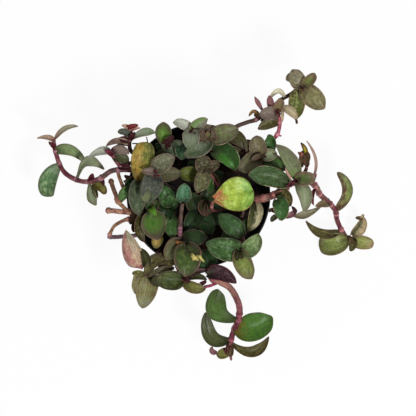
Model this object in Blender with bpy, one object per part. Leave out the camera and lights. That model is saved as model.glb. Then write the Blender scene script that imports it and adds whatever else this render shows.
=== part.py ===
"""Potted chain-plant tradescantia: a nursery pot, its soil, jointed stems and boat-shaped leaves.

Every solid is one closed body. Places are in millimetres, seen from above with the pot's axis at
the origin, +Z up and the floor at z = 0. The mesh is scaled to metres when it is made.
"""
import math
from dataclasses import dataclass, replace

import bmesh
import bpy
from mathutils import Matrix, Vector
from mathutils.bvhtree import BVHTree

MM = 0.001

# Driving dimensions, in millimetres.
RIM_RADIUS = 45.0
POT_HEIGHT = 68.0
BASE_RADIUS = 31.0
WALL = 1.2
RIM_BAND = 9.0
RIM_STEP = 1.6
FLOOR = 1.6
SOIL_LEVEL = 57.5
SOIL_MOUND = 2.0
SOIL_GAP = 0.5
SOIL_STEPS = 28
SEAT = 0.3
DRAIN_HOLES = 6
DRAIN_DIAMETER = 5.0
DRAIN_CIRCLE = 22.0
POT_STEPS = 36
LEAF_THICKNESS = 1.3
STATIONS = (0.0, 0.2, 0.42, 0.66, 0.86)
NECK = 0.28
TAPER = 0.85
LEAF_FULLNESS = 0.75
TIP_THINNING = 0.35
STEM_SIDES = 6
STEM_SPACING = 6.0
BUD_RINGS = ((-0.45, 0.87), (0.45, 0.87))
BUD_STRETCH = 1.2
BUD_SHARE = 0.75
SOIL_RINGS = (1.0, 0.82, 0.6, 0.36, 0.15, 0.0)
RIM_ROUNDING = 0.4

# How the leaves are laid clear of each other: the step, the number of steps and the room kept.
LAY_STEP = 0.3
LAY_REACH = 40
LAY_MARGIN = 0.2

PLASTIC_ROUGHNESS = 0.35
SOIL_ROUGHNESS = 0.95
STEM_ROUGHNESS = 0.45
LEAF_ROUGHNESS = 0.4

# Colours, as linear red, green and blue.
BLACK = (0.01, 0.01, 0.011)
EARTH = (0.035, 0.022, 0.014)
MAROON = (0.10, 0.025, 0.03)
PINK = (0.32, 0.12, 0.15)
TAN = (0.28, 0.15, 0.09)
SAGE = (0.24, 0.28, 0.19)
OLIVE = (0.15, 0.17, 0.06)
GREEN = (0.05, 0.13, 0.03)
TEAL = (0.09, 0.26, 0.16)
LIME = (0.32, 0.48, 0.11)
OCHRE = (0.33, 0.22, 0.06)
ROSE = (0.38, 0.14, 0.16)
PLUM = (0.04, 0.012, 0.02)


@dataclass
class Leaf:
    """One boat-shaped leaf from its base to its tip, with an optional point on the way."""

    base: tuple
    tip: tuple
    width: float
    roll: float = 0.0
    fold: float = 24.0
    arch: float = 1.5
    via: tuple = None
    widest: float = 0.42


def clear_scene():
    for obj in list(bpy.data.objects):
        bpy.data.objects.remove(obj, do_unlink=True)


def material(name, colour, roughness):
    found = bpy.data.materials.get(name)
    if found:
        return found
    made = bpy.data.materials.new(name)
    made.use_nodes = True
    shader = made.node_tree.nodes["Principled BSDF"]
    shader.inputs["Base Color"].default_value = (*colour, 1.0)
    shader.inputs["Roughness"].default_value = roughness
    return made


def place(name, mesh, finish):
    """Put a mesh in the scene as the node of that name."""
    obj = bpy.data.objects.new(name, mesh)
    bpy.context.collection.objects.link(obj)
    mesh.materials.clear()
    mesh.materials.append(finish)
    return obj


def mesh_from(bm, name):
    bmesh.ops.recalc_face_normals(bm, faces=bm.faces[:])
    mesh = bpy.data.meshes.new(name)
    bm.to_mesh(mesh)
    bm.free()
    return mesh


def loft(bm, rings):
    """Skin a run of rings; a ring of one point closes to a tip, a longer end ring gets a cap."""
    made = [[bm.verts.new(point * MM) for point in ring] for ring in rings]
    for here, there in zip(made, made[1:]):
        count = max(len(here), len(there))
        for i in range(count):
            j = (i + 1) % count
            if len(there) == 1:
                bm.faces.new((here[i], here[j], there[0]))
            elif len(here) == 1:
                bm.faces.new((here[0], there[j], there[i]))
            else:
                bm.faces.new((here[i], here[j], there[j], there[i]))
    if len(made[0]) > 1:
        bm.faces.new(list(reversed(made[0])))
    if len(made[-1]) > 1:
        bm.faces.new(made[-1])


def smooth_route(points, spacing):
    """Points along the smooth curve through the route's own points."""
    points = [Vector(p) for p in points]
    padded = [2 * points[0] - points[1]] + points + [2 * points[-1] - points[-2]]
    out = []
    for a, b, c, d in zip(padded, padded[1:], padded[2:], padded[3:]):
        steps = max(1, round((c - b).length / spacing))
        for k in range(steps):
            t = k / steps
            out.append(
                0.5 * (2 * b + (c - a) * t + (2 * a - 5 * b + 4 * c - d) * t**2
                       + (3 * b - a - 3 * c + d) * t**3)
            )
    return out + [points[-1]]


def tube(bm, route, diameter):
    """A round stem along a smooth route, a little thinner at its far end."""
    points = smooth_route(route, STEM_SPACING)
    side = None
    rings = []
    for i, point in enumerate(points):
        ahead = points[min(i + 1, len(points) - 1)] - points[max(i - 1, 0)]
        ahead.normalize()
        if side is None:
            side = ahead.cross(Vector((0, 0, 1))) if abs(ahead.z) < 0.9 else ahead.cross(Vector((1, 0, 0)))
        side = (side - ahead * side.dot(ahead)).normalized()
        across = ahead.cross(side)
        radius = diameter / 2 * (1 + (TAPER - 1) * i / (len(points) - 1))
        rings.append([
            point + radius * (math.cos(2 * math.pi * k / STEM_SIDES) * side
                              + math.sin(2 * math.pi * k / STEM_SIDES) * across)
            for k in range(STEM_SIDES)
        ])
    loft(bm, rings)


def rib_of(leaf):
    """The leaf's midrib as a function of 0..1, with its face direction."""
    base, tip = Vector(leaf.base), Vector(leaf.tip)
    along = (tip - base).normalized()
    face = Vector((0, 0, 1)) - along * along.z
    face = Matrix.Rotation(math.radians(leaf.roll), 3, along) @ face.normalized()
    middle = Vector(leaf.via) if leaf.via else (base + tip) / 2 + face * leaf.arch
    pull = 2 * middle - (base + tip) / 2

    def at(s):
        point = (1 - s) ** 2 * base + 2 * s * (1 - s) * pull + s**2 * tip
        ahead = (2 * (1 - s) * (pull - base) + 2 * s * (tip - pull)).normalized()
        normal = (face - ahead * face.dot(ahead)).normalized()
        return point, ahead, normal

    return at


def half_width(leaf, s):
    power = math.log(0.5) / math.log(leaf.widest)
    return leaf.width / 2 * max(math.sin(math.pi * s**power), 0.0) ** LEAF_FULLNESS


def blade(bm, leaf):
    """A leaf's solid: two halves raised from the midrib, closed to a point at the tip."""
    at = rib_of(leaf)
    lift = math.radians(leaf.fold)
    rings = []
    for s in STATIONS:
        point, ahead, normal = at(s)
        side = ahead.cross(normal)
        half = max(half_width(leaf, s), NECK * leaf.width / 2)
        thick = LEAF_THICKNESS / 2 * (1 - TIP_THINNING * s)
        out = side * half * math.cos(lift)
        up = normal * half * math.sin(lift)
        rings.append([point + out + up, point + normal * thick, point - out + up, point - normal * thick])
    rings.append([at(1.0)[0]])
    loft(bm, rings)


def bud(bm, centre, radius):
    """A small rounded bud of two rings between two points."""
    centre = Vector(centre)
    tall = radius * BUD_STRETCH
    rings = [[centre - Vector((0, 0, tall))]]
    for rise, share in BUD_RINGS:
        rings.append([
            centre + Vector((radius * share * math.cos(a), radius * share * math.sin(a), tall * rise))
            for a in (2 * math.pi * k / 6 for k in range(6))
        ])
    rings.append([centre + Vector((0, 0, tall))])
    loft(bm, rings)


def union(name, solids):
    """Join overlapping solids, each a function that fills a bmesh, into one closed body."""
    group = bpy.data.collections.new(name + "_parts")
    bpy.context.scene.collection.children.link(group)
    objects = []
    for number, fill in enumerate(solids):
        bm = bmesh.new()
        fill(bm)
        bmesh.ops.triangulate(bm, faces=bm.faces[:])
        part = bpy.data.objects.new(f"{name}_{number}", mesh_from(bm, name))
        objects.append(part)
        if number:
            group.objects.link(part)
    first = objects[0]
    bpy.context.collection.objects.link(first)
    join = first.modifiers.new("join", "BOOLEAN")
    join.operation = "UNION"
    join.solver = "EXACT"
    join.operand_type = "COLLECTION"
    join.collection = group
    bpy.context.view_layer.update()
    seen = first.evaluated_get(bpy.context.evaluated_depsgraph_get())
    mesh = bpy.data.meshes.new_from_object(seen)
    for part in objects:
        bpy.data.objects.remove(part, do_unlink=True)
    bpy.data.collections.remove(group)
    bm = bmesh.new()
    bm.from_mesh(mesh)
    bpy.data.meshes.remove(mesh)
    bmesh.ops.remove_doubles(bm, verts=bm.verts[:], dist=1e-6)
    bmesh.ops.triangulate(bm, faces=bm.faces[:], ngon_method="EAR_CLIP")
    return mesh_from(bm, name)


# ---------------------------------------------------------------- pot and soil


def wall_radius(z):
    """Outer radius of the pot's wall below its rim band."""
    top = POT_HEIGHT - RIM_BAND
    return BASE_RADIUS + (RIM_RADIUS - RIM_STEP - BASE_RADIUS) * z / top


def turned(bm, profile, steps):
    """Turn a profile, from the axis round to the axis, into a closed solid."""
    rings = []
    for radius, z in profile:
        if radius == 0:
            rings.append([Vector((0, 0, z))])
        else:
            rings.append([
                Vector((radius * math.cos(a), radius * math.sin(a), z))
                for a in (2 * math.pi * k / steps for k in range(steps))
            ])
    loft(bm, rings)


def make_pot():
    band = POT_HEIGHT - RIM_BAND
    profile = [
        (0, 0),
        (BASE_RADIUS, 0),
        (wall_radius(band), band),
        (RIM_RADIUS, band + RIM_STEP),
        (RIM_RADIUS, POT_HEIGHT - RIM_ROUNDING),
        (RIM_RADIUS - RIM_ROUNDING, POT_HEIGHT),
        (RIM_RADIUS - WALL, POT_HEIGHT),
        (RIM_RADIUS - WALL, band + RIM_STEP),
        (wall_radius(band) - WALL, band),
        (wall_radius(FLOOR) - WALL, FLOOR),
        (0, FLOOR),
    ]
    bm = bmesh.new()
    turned(bm, profile, POT_STEPS)
    plastic = material("black_plastic", BLACK, PLASTIC_ROUGHNESS)
    pot = place("pot", mesh_from(bm, "pot"), plastic)
    drain_cutter(pot)
    return pot


def drain_cutter(pot):
    bm = bmesh.new()
    for k in range(DRAIN_HOLES):
        angle = 2 * math.pi * (k + 0.5) / DRAIN_HOLES
        spot = Vector((DRAIN_CIRCLE * math.cos(angle), DRAIN_CIRCLE * math.sin(angle), FLOOR / 2)) * MM
        bmesh.ops.create_cone(
            bm, cap_ends=True, segments=8, radius1=DRAIN_DIAMETER / 2 * MM,
            radius2=DRAIN_DIAMETER / 2 * MM, depth=3 * FLOOR * MM, matrix=Matrix.Translation(spot))
    cutter = place("drain_cutter", mesh_from(bm, "drain_cutter"), pot.data.materials[0])
    cutter.hide_render = True
    cutter.display_type = "WIRE"
    cut = pot.modifiers.new("drain_holes", "BOOLEAN")
    cut.operation = "DIFFERENCE"
    cut.solver = "EXACT"
    cut.object = cutter


def soil_radius(z):
    return wall_radius(z) - WALL - SOIL_GAP


def soil_height(x, y):
    """Height of the soil's gentle mound at a place seen from above."""
    share = min(math.hypot(x, y) / soil_radius(SOIL_LEVEL), 1.0)
    return SOIL_LEVEL + SOIL_MOUND * (1 - share**2)


def make_soil():
    """The root ball: it fills the pot with a small gap and has a slightly mounded top."""
    low = FLOOR + SEAT
    top = soil_radius(SOIL_LEVEL)
    profile = [(0, low), (soil_radius(low), low)]
    profile += [(share * top, soil_height(share * top, 0)) for share in SOIL_RINGS]
    bm = bmesh.new()
    turned(bm, profile, SOIL_STEPS)
    return place("soil", mesh_from(bm, "soil"), material("potting_soil", EARTH, SOIL_ROUGHNESS))


# ---------------------------------------------------------------- stems


@dataclass
class Stem:
    """A round stem. Its first point gives only x and y where it grows out of the soil."""

    colour: tuple
    diameter: float
    route: list


STEMS = {
    "stem_west_runner": Stem(MAROON, 3.4, [
        (-30, 14), (-36, 15.5, 69), (-43, 16, 73), (-50, 16, 74), (-55, 15, 72), (-62, 10.5, 65),
        (-70, 8.7, 56), (-77, 10, 48), (-84, 14, 42), (-88, 20, 39), (-90.5, 28, 39), (-91.5, 33, 40),
    ]),
    "stem_south_runner": Stem(MAROON, 4.4, [
        (2, -30), (6, -42, 71), (8, -51, 75), (14, -54, 75.5), (20, -58, 72), (24.5, -66, 64),
        (25.5, -72, 56), (24.5, -78, 48), (22.5, -84, 41), (20.5, -91, 35), (19, -97, 32),
    ]),
    "stem_northeast_runner": Stem(MAROON, 2.9, [
        (14, 24), (19, 34, 69), (22.5, 42, 73), (30, 46, 74), (37, 48, 73), (45, 54, 70),
        (51, 59.5, 67), (57, 63, 64), (62, 66.5, 62),
    ]),
    "stem_east_branch": Stem(PINK, 4.8, [
        (24, -7), (30, -4.5, 69), (37, -2.5, 73.5), (45, -0.5, 76), (51, 2.5, 79), (55, 5.5, 82),
    ]),
    "stem_east_runner": Stem(MAROON, 3.4, [
        (61.4, 8.2, 83.2), (66, 9, 79), (71, 7.5, 72.5), (74, 5, 65), (76, 1, 57), (80, -2.5, 48),
        (84, -6, 39), (87, -10, 30), (88, -15, 22), (91, -21.5, 14), (94, -26, 10),
    ]),
    "stem_old_rim": Stem(TAN, 2.5, [
        (-32, -12), (-37, -12, 69), (-43, -11, 74), (-47, -7, 74.5), (-50, -4, 73.5), (-51.5, 0, 71),
        (-53.5, 5, 66), (-55, 9.5, 60),
    ]),
    "stem_old_short": Stem(TAN, 2.1, [
        (-36, 2), (-42, 2.8, 71.2), (-46, 4, 72), (-49, 10, 70.5), (-51, 17, 69),
    ]),
    "stem_old_salmon": Stem(TAN, 2.7, [
        (-35, -5), (-41, -9.5, 70), (-46, -10.5, 70.5), (-52, -10, 67), (-57, -9.5, 61),
    ]),
    "stem_old_hook": Stem(TAN, 2.2, [
        (-35, -17), (-40, -15.5, 71), (-45, -15, 72), (-52, -18.5, 68), (-54.5, -22, 64), (-56, -25, 61),
    ]),
    "stem_mauve": Stem(ROSE, 2.8, [
        (-30, -21), (-34, -23, 69.5), (-40, -25, 72), (-46, -25.5, 68), (-52, -26, 60), (-58, -26, 50),
    ]),
    "stem_southwest": Stem(ROSE, 3.0, [
        (-20, -28), (-23, -32.5, 68), (-26.5, -37.5, 72), (-31, -43.5, 73), (-33, -47, 72), (-33, -52, 70),
    ]),
    "stem_pink_northeast": Stem(ROSE, 2.5, [
        (27, 26), (33, 29, 71), (42, 32.5, 76), (47, 36, 78), (50, 41, 78.5), (50.5, 46, 78),
        (50, 49, 77.5),
    ]),
    "stem_teal_leaf": Stem(ROSE, 3.0, [
        (-11, -33), (-11.5, -28, 70), (-11.5, -22, 77), (-11, -14, 81), (-10.2, -6, 84),
    ]),
    "stem_lime_leaf": Stem(ROSE, 2.4, [
        (18, -8), (15, -8.7, 68), (10.5, -9.6, 76), (8.7, -8.2, 84), (9.3, -5.2, 88),
    ]),
    "stem_southeast": Stem(MAROON, 3.4, [
        (22, -18), (25.5, -21, 72), (26.8, -25, 80), (27.2, -28.6, 83),
    ]),
}


def rooted(route, radius):
    """The route with its first point's height set so that the stem's foot just clears the soil."""
    if len(route[0]) == 3:
        return route
    x, y = route[0]
    ground = soil_height(x, y)
    lean = Vector((route[1][0] - x, route[1][1] - y, route[1][2] - ground))
    tilt = lean.xy.length / lean.length
    return [(x, y, ground + SEAT + radius * tilt)] + list(route[1:])


def stem_route(name):
    stem = STEMS[name]
    return rooted(stem.route, stem.diameter / 2)


def seat_beside(carrier, place, towards, room=0.0):
    """A point just clear of the carrying stem, nearest to a place in plan, on the side it leaves by."""
    points = smooth_route(stem_route(carrier), 1.0)
    at = min(range(len(points)), key=lambda i: (points[i].xy - Vector(place[:2])).length)
    along = (points[min(at + 1, len(points) - 1)] - points[max(at - 1, 0)]).normalized()
    if at == len(points) - 1:
        return tuple(points[at] + along * (SEAT + room))
    aim = Vector(towards) - points[at]
    away = (aim - along * aim.dot(along)).normalized()
    radius = STEMS[carrier].diameter / 2 * (1 - (1 - TAPER) * at / (len(points) - 1))
    return tuple(points[at] + away * (radius + SEAT + room))


def make_stems():
    """Runners and bare stems that keep their places; the leaves are laid round them."""
    made = []
    for name, stem in STEMS.items():
        bm = bmesh.new()
        tube(bm, stem_route(name), stem.diameter)
        made.append(place(name, mesh_from(bm, name), material(name, stem.colour, STEM_ROUGHNESS)))
    return made


# ---------------------------------------------------------------- single leaves

# Each leaf's base is given in plan only: it is seated on the stem that carries it.
SINGLE_LEAVES = {
    # In and round the pot.
    "leaf_pink_back": (ROSE, "stem_southwest",
         Leaf((-32, -45), (-45.3, -21.5, 81), 15, roll=-25, fold=-14, arch=2)),
    "leaf_pale_edged": (SAGE, "stem_east_branch", Leaf((35, -3), (30, -22, 79), 12, roll=-35)),
    "leaf_plum": (PLUM, "stem_south_runner",
         Leaf((7.5, -49), (22.8, -52, 82), 11, roll=-15, fold=20)),
    "leaf_teal": (TEAL, "stem_teal_leaf", Leaf((-10, -6), (-9, 7.9, 89), 11.5, fold=18)),
    "leaf_lime": (LIME, "stem_lime_leaf",
         Leaf((9.5, -5), (34, 5, 97), 23, roll=-8, fold=14, arch=3, widest=0.58)),
    # On the west runner.
    "leaf_west_arched": (SAGE, "stem_west_runner",
         Leaf((-90.5, 28), (-73, 22, 43), 9, roll=25, via=(-81.5, 32, 46))),
    "leaf_west_hanging": (SAGE, "stem_west_runner",
         Leaf((-88, 20), (-95, -0.5, 29), 13, roll=12, fold=28)),
    "leaf_west_folded": (SAGE, "stem_west_runner",
         Leaf((-77, 10), (-59.3, 17.5, 61), 10, roll=-42)),
    "leaf_west_pale": (SAGE, "stem_west_runner", Leaf((-68, 9), (-63.5, -6, 54), 8)),
    # On the south runner.
    "leaf_south_crescent": (GREEN, "stem_south_runner",
         Leaf((24.5, -78), (12, -59, 66), 12, roll=-30, via=(13.5, -70, 60))),
    "leaf_south_broad": (GREEN, "stem_south_runner",
         Leaf((23, -83), (46, -75, 43), 18, fold=20, arch=3)),
    "leaf_south_boomerang": (OLIVE, "stem_south_runner",
         Leaf((20.5, -91), (5.5, -75, 44), 10, roll=35, via=(8.5, -88, 42))),
    "leaf_south_dark": (OLIVE, "stem_south_runner",
         Leaf((20, -93), (44, -90, 31), 9, roll=-30, via=(33, -97, 34))),
    # On the east runner.
    "leaf_east_upright": (GREEN, "stem_east_runner",
         Leaf((86.5, -9), (88, 14, 46), 9, roll=60, via=(95.5, 3.5, 44))),
    "leaf_east_narrow": (OLIVE, "stem_east_runner",
         Leaf((79, -2), (59, -13, 56), 7, roll=20, via=(66, -11.5, 57))),
    "leaf_east_dark": (OLIVE, "stem_east_runner",
         Leaf((91.5, -22), (68.5, -16.5, 26), 8, roll=35, via=(77, -24, 22))),
    "leaf_east_floor": (GREEN, "stem_east_runner",
         Leaf((91.5, -22.7), (75.5, -31, 7), 14, fold=16, arch=2)),
}


def seated(leaf, carrier):
    towards = leaf.via or leaf.tip
    return replace(leaf, base=seat_beside(carrier, leaf.base, towards, room=0.2 * NECK * leaf.width / 2))


# ---------------------------------------------------------------- shoots, each a stem with its leaves


@dataclass
class Shoot:
    """A short stem, buds on it and the leaves whose bases sit inside it."""

    colour: tuple
    route: list
    diameter: float
    buds: list
    leaves: list
    carrier: str = None


SHOOTS = {
    "shoot_ochre": Shoot(OCHRE, [(-32, 4), (-35, 6.5, 69), (-36.7, 10.5, 76.5)], 2.4, [], [
        Leaf((-36.6, 10, 76), (-32, 33, 82), 15, fold=16, arch=2.5),
        Leaf((-36.4, 9.8, 75.5), (-38, -12.5, 78), 10, roll=-20),
    ]),
    "shoot_green_cup": Shoot(GREEN,
        [(-25, -3), (-28, -5.5, 69), (-29, -9, 76)], 2.6, [(-27.5, -9, 77)], [
        Leaf((-29, -9, 76), (-24, -28.5, 80), 17, fold=30, arch=-2),
    ]),
    "shoot_rim_cup": Shoot(GREEN, [(-17, 25), (-20, 28.5, 69), (-21.5, 31.5, 76)], 2.4, [], [
        Leaf((-21.5, 31.5, 76), (-22, 45.7, 81), 11, fold=32, arch=-1.5),
        Leaf((-20, 28.5, 69), (-27, 32, 72), 6),
    ]),
    "shoot_centre_low": Shoot(GREEN, [(0, -9), (0, -10, 68)], 3, [(0, -10, 69)], [
        Leaf((0, -10, 69), (-6, -21.5, 71.5), 8),
        Leaf((0, -10, 69), (9, -24, 71), 9),
        Leaf((0, -10, 69), (-4, 1, 71), 8),
    ]),
    "shoot_centre_dark": Shoot(GREEN, [(-16, -8), (-17, -7, 68)], 3, [(-17, -6, 70)], [
        Leaf((-17, -6, 70), (-16, -28, 73), 9),
        Leaf((-17, -6, 70), (-22, 5.5, 73), 10),
        Leaf((-17, -6, 70), (-27, -3, 72), 8),
    ]),
    "shoot_blue_green": Shoot(TEAL,
        [(-13, 22), (-12, 27, 69), (-12, 29, 74)], 2.6, [(-12, 29, 76)], [
        Leaf((-12, 29, 76), (-20.5, 30.5, 79), 7),
        Leaf((-12, 29, 76), (-10, 20, 78), 9),
        Leaf((-12, 29, 76), (-14, 38, 79), 6, roll=30),
    ]),
    "shoot_northwest_rosette": Shoot(SAGE,
        [(-23, 9), (-25, 13, 70), (-27, 15, 81.5)], 2.8, [(-26.6, 15.3, 82.6)], [
        Leaf((-27, 15, 82), (-15, 22.5, 85), 11),
        Leaf((-27, 15, 82), (-10.5, 14.2, 83.5), 9.5),
        Leaf((-27, 15, 82), (-34.5, 14.8, 86.5), 6),
        Leaf((-27.5, 13.5, 81.5), (-32.5, -4.8, 85), 13, fold=18),
    ]),
    "shoot_north_rosette": Shoot(SAGE,
        [(-3, 31), (-3, 38, 70), (-3, 40.5, 79)], 2.8, [(-3, 40.5, 81)], [
        Leaf((-3, 40.5, 81), (-16, 46.5, 84), 7, roll=20),
        Leaf((-3, 40.5, 81), (5.8, 48.3, 84), 9),
        Leaf((-3, 40.5, 81), (-3, 28.2, 84), 13, fold=18),
    ]),
    "shoot_north_nested": Shoot(OLIVE, [(5, 28), (6, 33, 70), (7, 36, 82)], 2.8, [(7, 36, 84)], [
        Leaf((7, 36, 84), (24.4, 41, 87), 13),
        Leaf((7, 36, 84), (-8, 27, 88), 8, roll=15),
        Leaf((7, 36, 84), (4, 44.5, 90), 9, fold=38),
        Leaf((7, 36, 84), (10, 29.5, 89), 9, fold=38),
    ]),
    "shoot_centre_rosette": Shoot(OLIVE, [(2, 8), (4, 12, 70), (5, 16, 80)], 2.6, [(5, 16, 82)], [
        Leaf((5, 16, 82), (1.5, 26, 85), 10),
        Leaf((5, 16, 82), (-2, 2, 84), 9),
        Leaf((5, 16, 82), (12.8, 20.8, 80), 6),
        Leaf((5, 16, 82), (10.5, 0.5, 83), 9, roll=15),
        Leaf((3.5, 12, 72), (-10, 16, 77), 9),
    ]),
    "shoot_northeast_green": Shoot(GREEN,
        [(11, 22), (9, 26, 72), (8.5, 28, 79)], 2.6, [(8.5, 28, 80)], [
        Leaf((8.5, 28, 80), (23.5, 17, 85), 14, fold=18, arch=2.5),
        Leaf((9, 26, 72), (21, 27, 76), 8),
    ]),
    "shoot_northeast_rosette": Shoot(SAGE,
        [(30, 17), (34, 21, 70), (37, 25, 77)], 3, [(37, 25, 79)], [
        Leaf((37, 25, 79), (37, 37.5, 83), 11),
        Leaf((37, 25, 79), (25.5, 16, 83), 11),
        Leaf((37, 25, 79), (29.5, 35, 80), 6),
        Leaf((37, 25, 79), (48.5, 21.5, 83), 9),
        Leaf((37, 25, 79), (44, 39, 76), 7, roll=-20),
        Leaf((37, 25, 79), (54.5, 14, 76), 9),
    ]),
    "shoot_east_rosette": Shoot(GREEN, [(56.5, 6.7, 82.5), (59, 8, 84.5)], 3.6, [(59, 8, 85.5)], [
        Leaf((58.5, 8, 86), (31, 12, 92), 17, fold=16, arch=3),
        Leaf((59, 8.5, 85), (48.5, 31, 90), 13),
        Leaf((59, 8, 85), (74, 9.7, 88), 9),
        Leaf((59, 7.5, 85), (65, -10.5, 83), 11),
        Leaf((58.5, 6.5, 85), (51, -16.5, 85), 10, roll=12),
    ], "stem_east_branch"),
    "shoot_east_bud": Shoot(MAROON,
        [(62.5, 11, 80), (66, 15, 82), (68.5, 19, 84), (67, 24, 86)], 2.4, [(66, 23, 86)], [
        Leaf((66, 22, 86), (64, 33, 90), 6, roll=20),
        Leaf((68, 19, 84), (70, 28, 87), 5, roll=-30),
    ], "stem_east_runner"),
    "shoot_west_sprig": Shoot(MAROON, [
        (-30, 19.5), (-36, 20.3, 69), (-41, 20.5, 75), (-46.5, 18.5, 79), (-49, 18.5, 80.5), (-53, 24, 81),
        (-54.5, 27, 81),
    ], 2.7, [(-54.8, 27.2, 81.5)], [
        Leaf((-54.8, 27.2, 81.5), (-43.8, 25.2, 85), 7, roll=35, via=(-49, 28.5, 85)),
        Leaf((-53, 24, 81), (-44, 20.5, 79), 7, roll=-20),
        Leaf((-54.8, 27.2, 81.5), (-71, 22.5, 76), 7, roll=45),
    ]),
    "shoot_northwest_sprig": Shoot(MAROON, [
        (-28, 20.5), (-33, 23, 68.5), (-38, 25.5, 74), (-42.5, 28, 76), (-43.2, 35, 76), (-42, 40.5, 77),
    ], 2.5, [(-41.8, 41.5, 77.5)], [
        Leaf((-43.3, 34, 76), (-26.8, 38.3, 81), 7, roll=-25),
        Leaf((-43, 36, 76), (-50.8, 40, 79), 8),
        Leaf((-41.8, 41.5, 77.5), (-47.8, 45, 79), 4, roll=30),
        Leaf((-41.8, 41.5, 77.5), (-36, 43, 79), 4, roll=-30),
        Leaf((-43.2, 33, 76), (-57.5, 32.5, 73.5), 7, roll=45),
    ]),
    "shoot_northeast_middle": Shoot(SAGE,
        [(49.6, 50.5, 77.5), (48.5, 52.5, 77)], 3, [(48.5, 52.3, 77.5)], [
        Leaf((48.5, 52.3, 77.5), (37.5, 50.2, 81), 9),
        Leaf((48.5, 52.3, 77.5), (52, 60, 80), 7),
        Leaf((48.5, 52.3, 77.5), (37.5, 41.5, 79), 7, roll=15),
        Leaf((48.5, 52.3, 77.5), (43.8, 62.8, 80), 6),
        Leaf((48.5, 52.3, 77.5), (35, 61.5, 79), 5, roll=40),
    ], "stem_pink_northeast"),
    "shoot_northeast_tip": Shoot(SAGE, [(63, 67.2, 62.6), (65, 69, 65)], 2.8, [(65, 69, 66)], [
        Leaf((65, 69, 66), (60.3, 80, 67), 10),
        Leaf((65, 69, 66), (54.5, 73, 66), 6, roll=15),
        Leaf((65, 69, 66), (72.8, 75.8, 68), 8),
        Leaf((65, 69, 66), (77.3, 54, 66), 14, fold=20),
        Leaf((65, 69, 66), (62.5, 47.5, 67), 12, fold=18),
    ], "stem_northeast_runner"),
    "shoot_east_tip": Shoot(GREEN, [(95, -26.9, 9.6), (97, -28, 7.5)], 3, [(97, -28, 7.5)], [
        Leaf((97, -28, 7.5), (110, -29, 6), 9.5),
        Leaf((97, -28, 7.5), (102.5, -12, 14), 7, roll=-30),
        Leaf((97, -28, 7.5), (94.2, -35, 6), 4.5),
    ], "stem_east_runner"),
    "shoot_west_tip": Shoot(ROSE,
        [(-91.6, 33.8, 40.3), (-91.4, 36.5, 42)], 2.8, [(-91.4, 36.5, 42)], [
        Leaf((-91.4, 36.5, 42), (-102, 36.3, 45), 8, roll=62),
        Leaf((-91.4, 36.5, 42), (-75.5, 43.3, 47), 8, roll=-58, via=(-84.5, 41.5, 48.5)),
    ], "stem_west_runner"),
    "shoot_south_tip": Shoot(OLIVE, [(18.7, -98, 31.6), (18.2, -100, 31)], 3, [(18.5, -99.3, 31)], [
        Leaf((18.5, -99.3, 31), (10.5, -102, 30), 6),
        Leaf((18.5, -99.3, 31), (22, -105, 30), 6, roll=-30),
    ], "stem_south_runner"),
    "shoot_south": Shoot(GREEN,
        [(-12, -37), (-10, -33, 69), (-8, -31.5, 76)], 2.8, [(-8, -31.5, 77)], [
        Leaf((-8, -31.5, 77), (-9.5, -50.5, 84), 15, fold=16),
        Leaf((-8.5, -32, 76), (-21, -41, 81), 10),
        Leaf((-8, -31.5, 75), (4, -42, 76), 7, roll=15),
    ]),
    "shoot_southwest_low": Shoot(GREEN,
        [(-15, -32), (-14.5, -38, 69), (-13.5, -44, 74), (-9, -53, 75)], 2.8, [(-8.5, -53, 75.5)], [
        Leaf((-8.5, -53, 75), (-27.5, -52, 77), 14),
        Leaf((-8.5, -53, 75), (5, -58, 78), 8),
        Leaf((-13.8, -43, 73), (-27.5, -50, 71), 8),
    ]),
    "shoot_southwest_tip": Shoot(SAGE,
        [(-33.1, -53, 69.6), (-33.3, -55, 69)], 3, [(-33.3, -54, 69.2)], [
        Leaf((-33.3, -54, 69.2), (-36, -70.5, 66), 12),
        Leaf((-33.3, -54, 69.2), (-41, -61, 70), 8),
    ], "stem_southwest"),
    "shoot_southeast": Shoot(GREEN, [(27.4, -29.6, 84), (28, -32, 86)], 3.4, [(28, -32, 86.5)], [
        Leaf((28, -32, 86.5), (4.2, -28, 89), 15, fold=16, arch=2.5),
        Leaf((28, -32, 86.5), (38.5, -30, 91), 14, fold=34),
        Leaf((28, -32, 86.5), (34.5, -52.5, 87), 13, fold=26),
        Leaf((28, -32, 86.5), (11, -17.5, 85), 10),
    ], "stem_southeast"),
}


def shoot_mesh(name, shoot):
    if shoot.carrier:
        route = [seat_beside(shoot.carrier, shoot.route[0], shoot.route[1], room) for room in (0, 1.5)]
        route += shoot.route[1:]
    else:
        route = rooted(shoot.route, shoot.diameter / 2)
    solids = [lambda bm: tube(bm, route, shoot.diameter)]
    for spot in shoot.buds:
        solids.append(lambda bm, spot=spot: bud(bm, spot, shoot.diameter * BUD_SHARE))
    for leaf in shoot.leaves:
        solids.append(lambda bm, leaf=leaf: blade(bm, leaf))
    return union(name, solids)


# ---------------------------------------------------------------- laying the leaves clear of each other


def tree_of(verts, faces, rise=0.0):
    lift = Vector((0, 0, rise))
    return BVHTree.FromPolygons([v + lift for v in verts], faces)


def outline_of(obj):
    seen = obj.evaluated_get(bpy.context.evaluated_depsgraph_get())
    mesh = seen.to_mesh()
    shape = ([v.co.copy() for v in mesh.vertices], [tuple(p.vertices) for p in mesh.polygons])
    seen.to_mesh_clear()
    return shape


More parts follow.
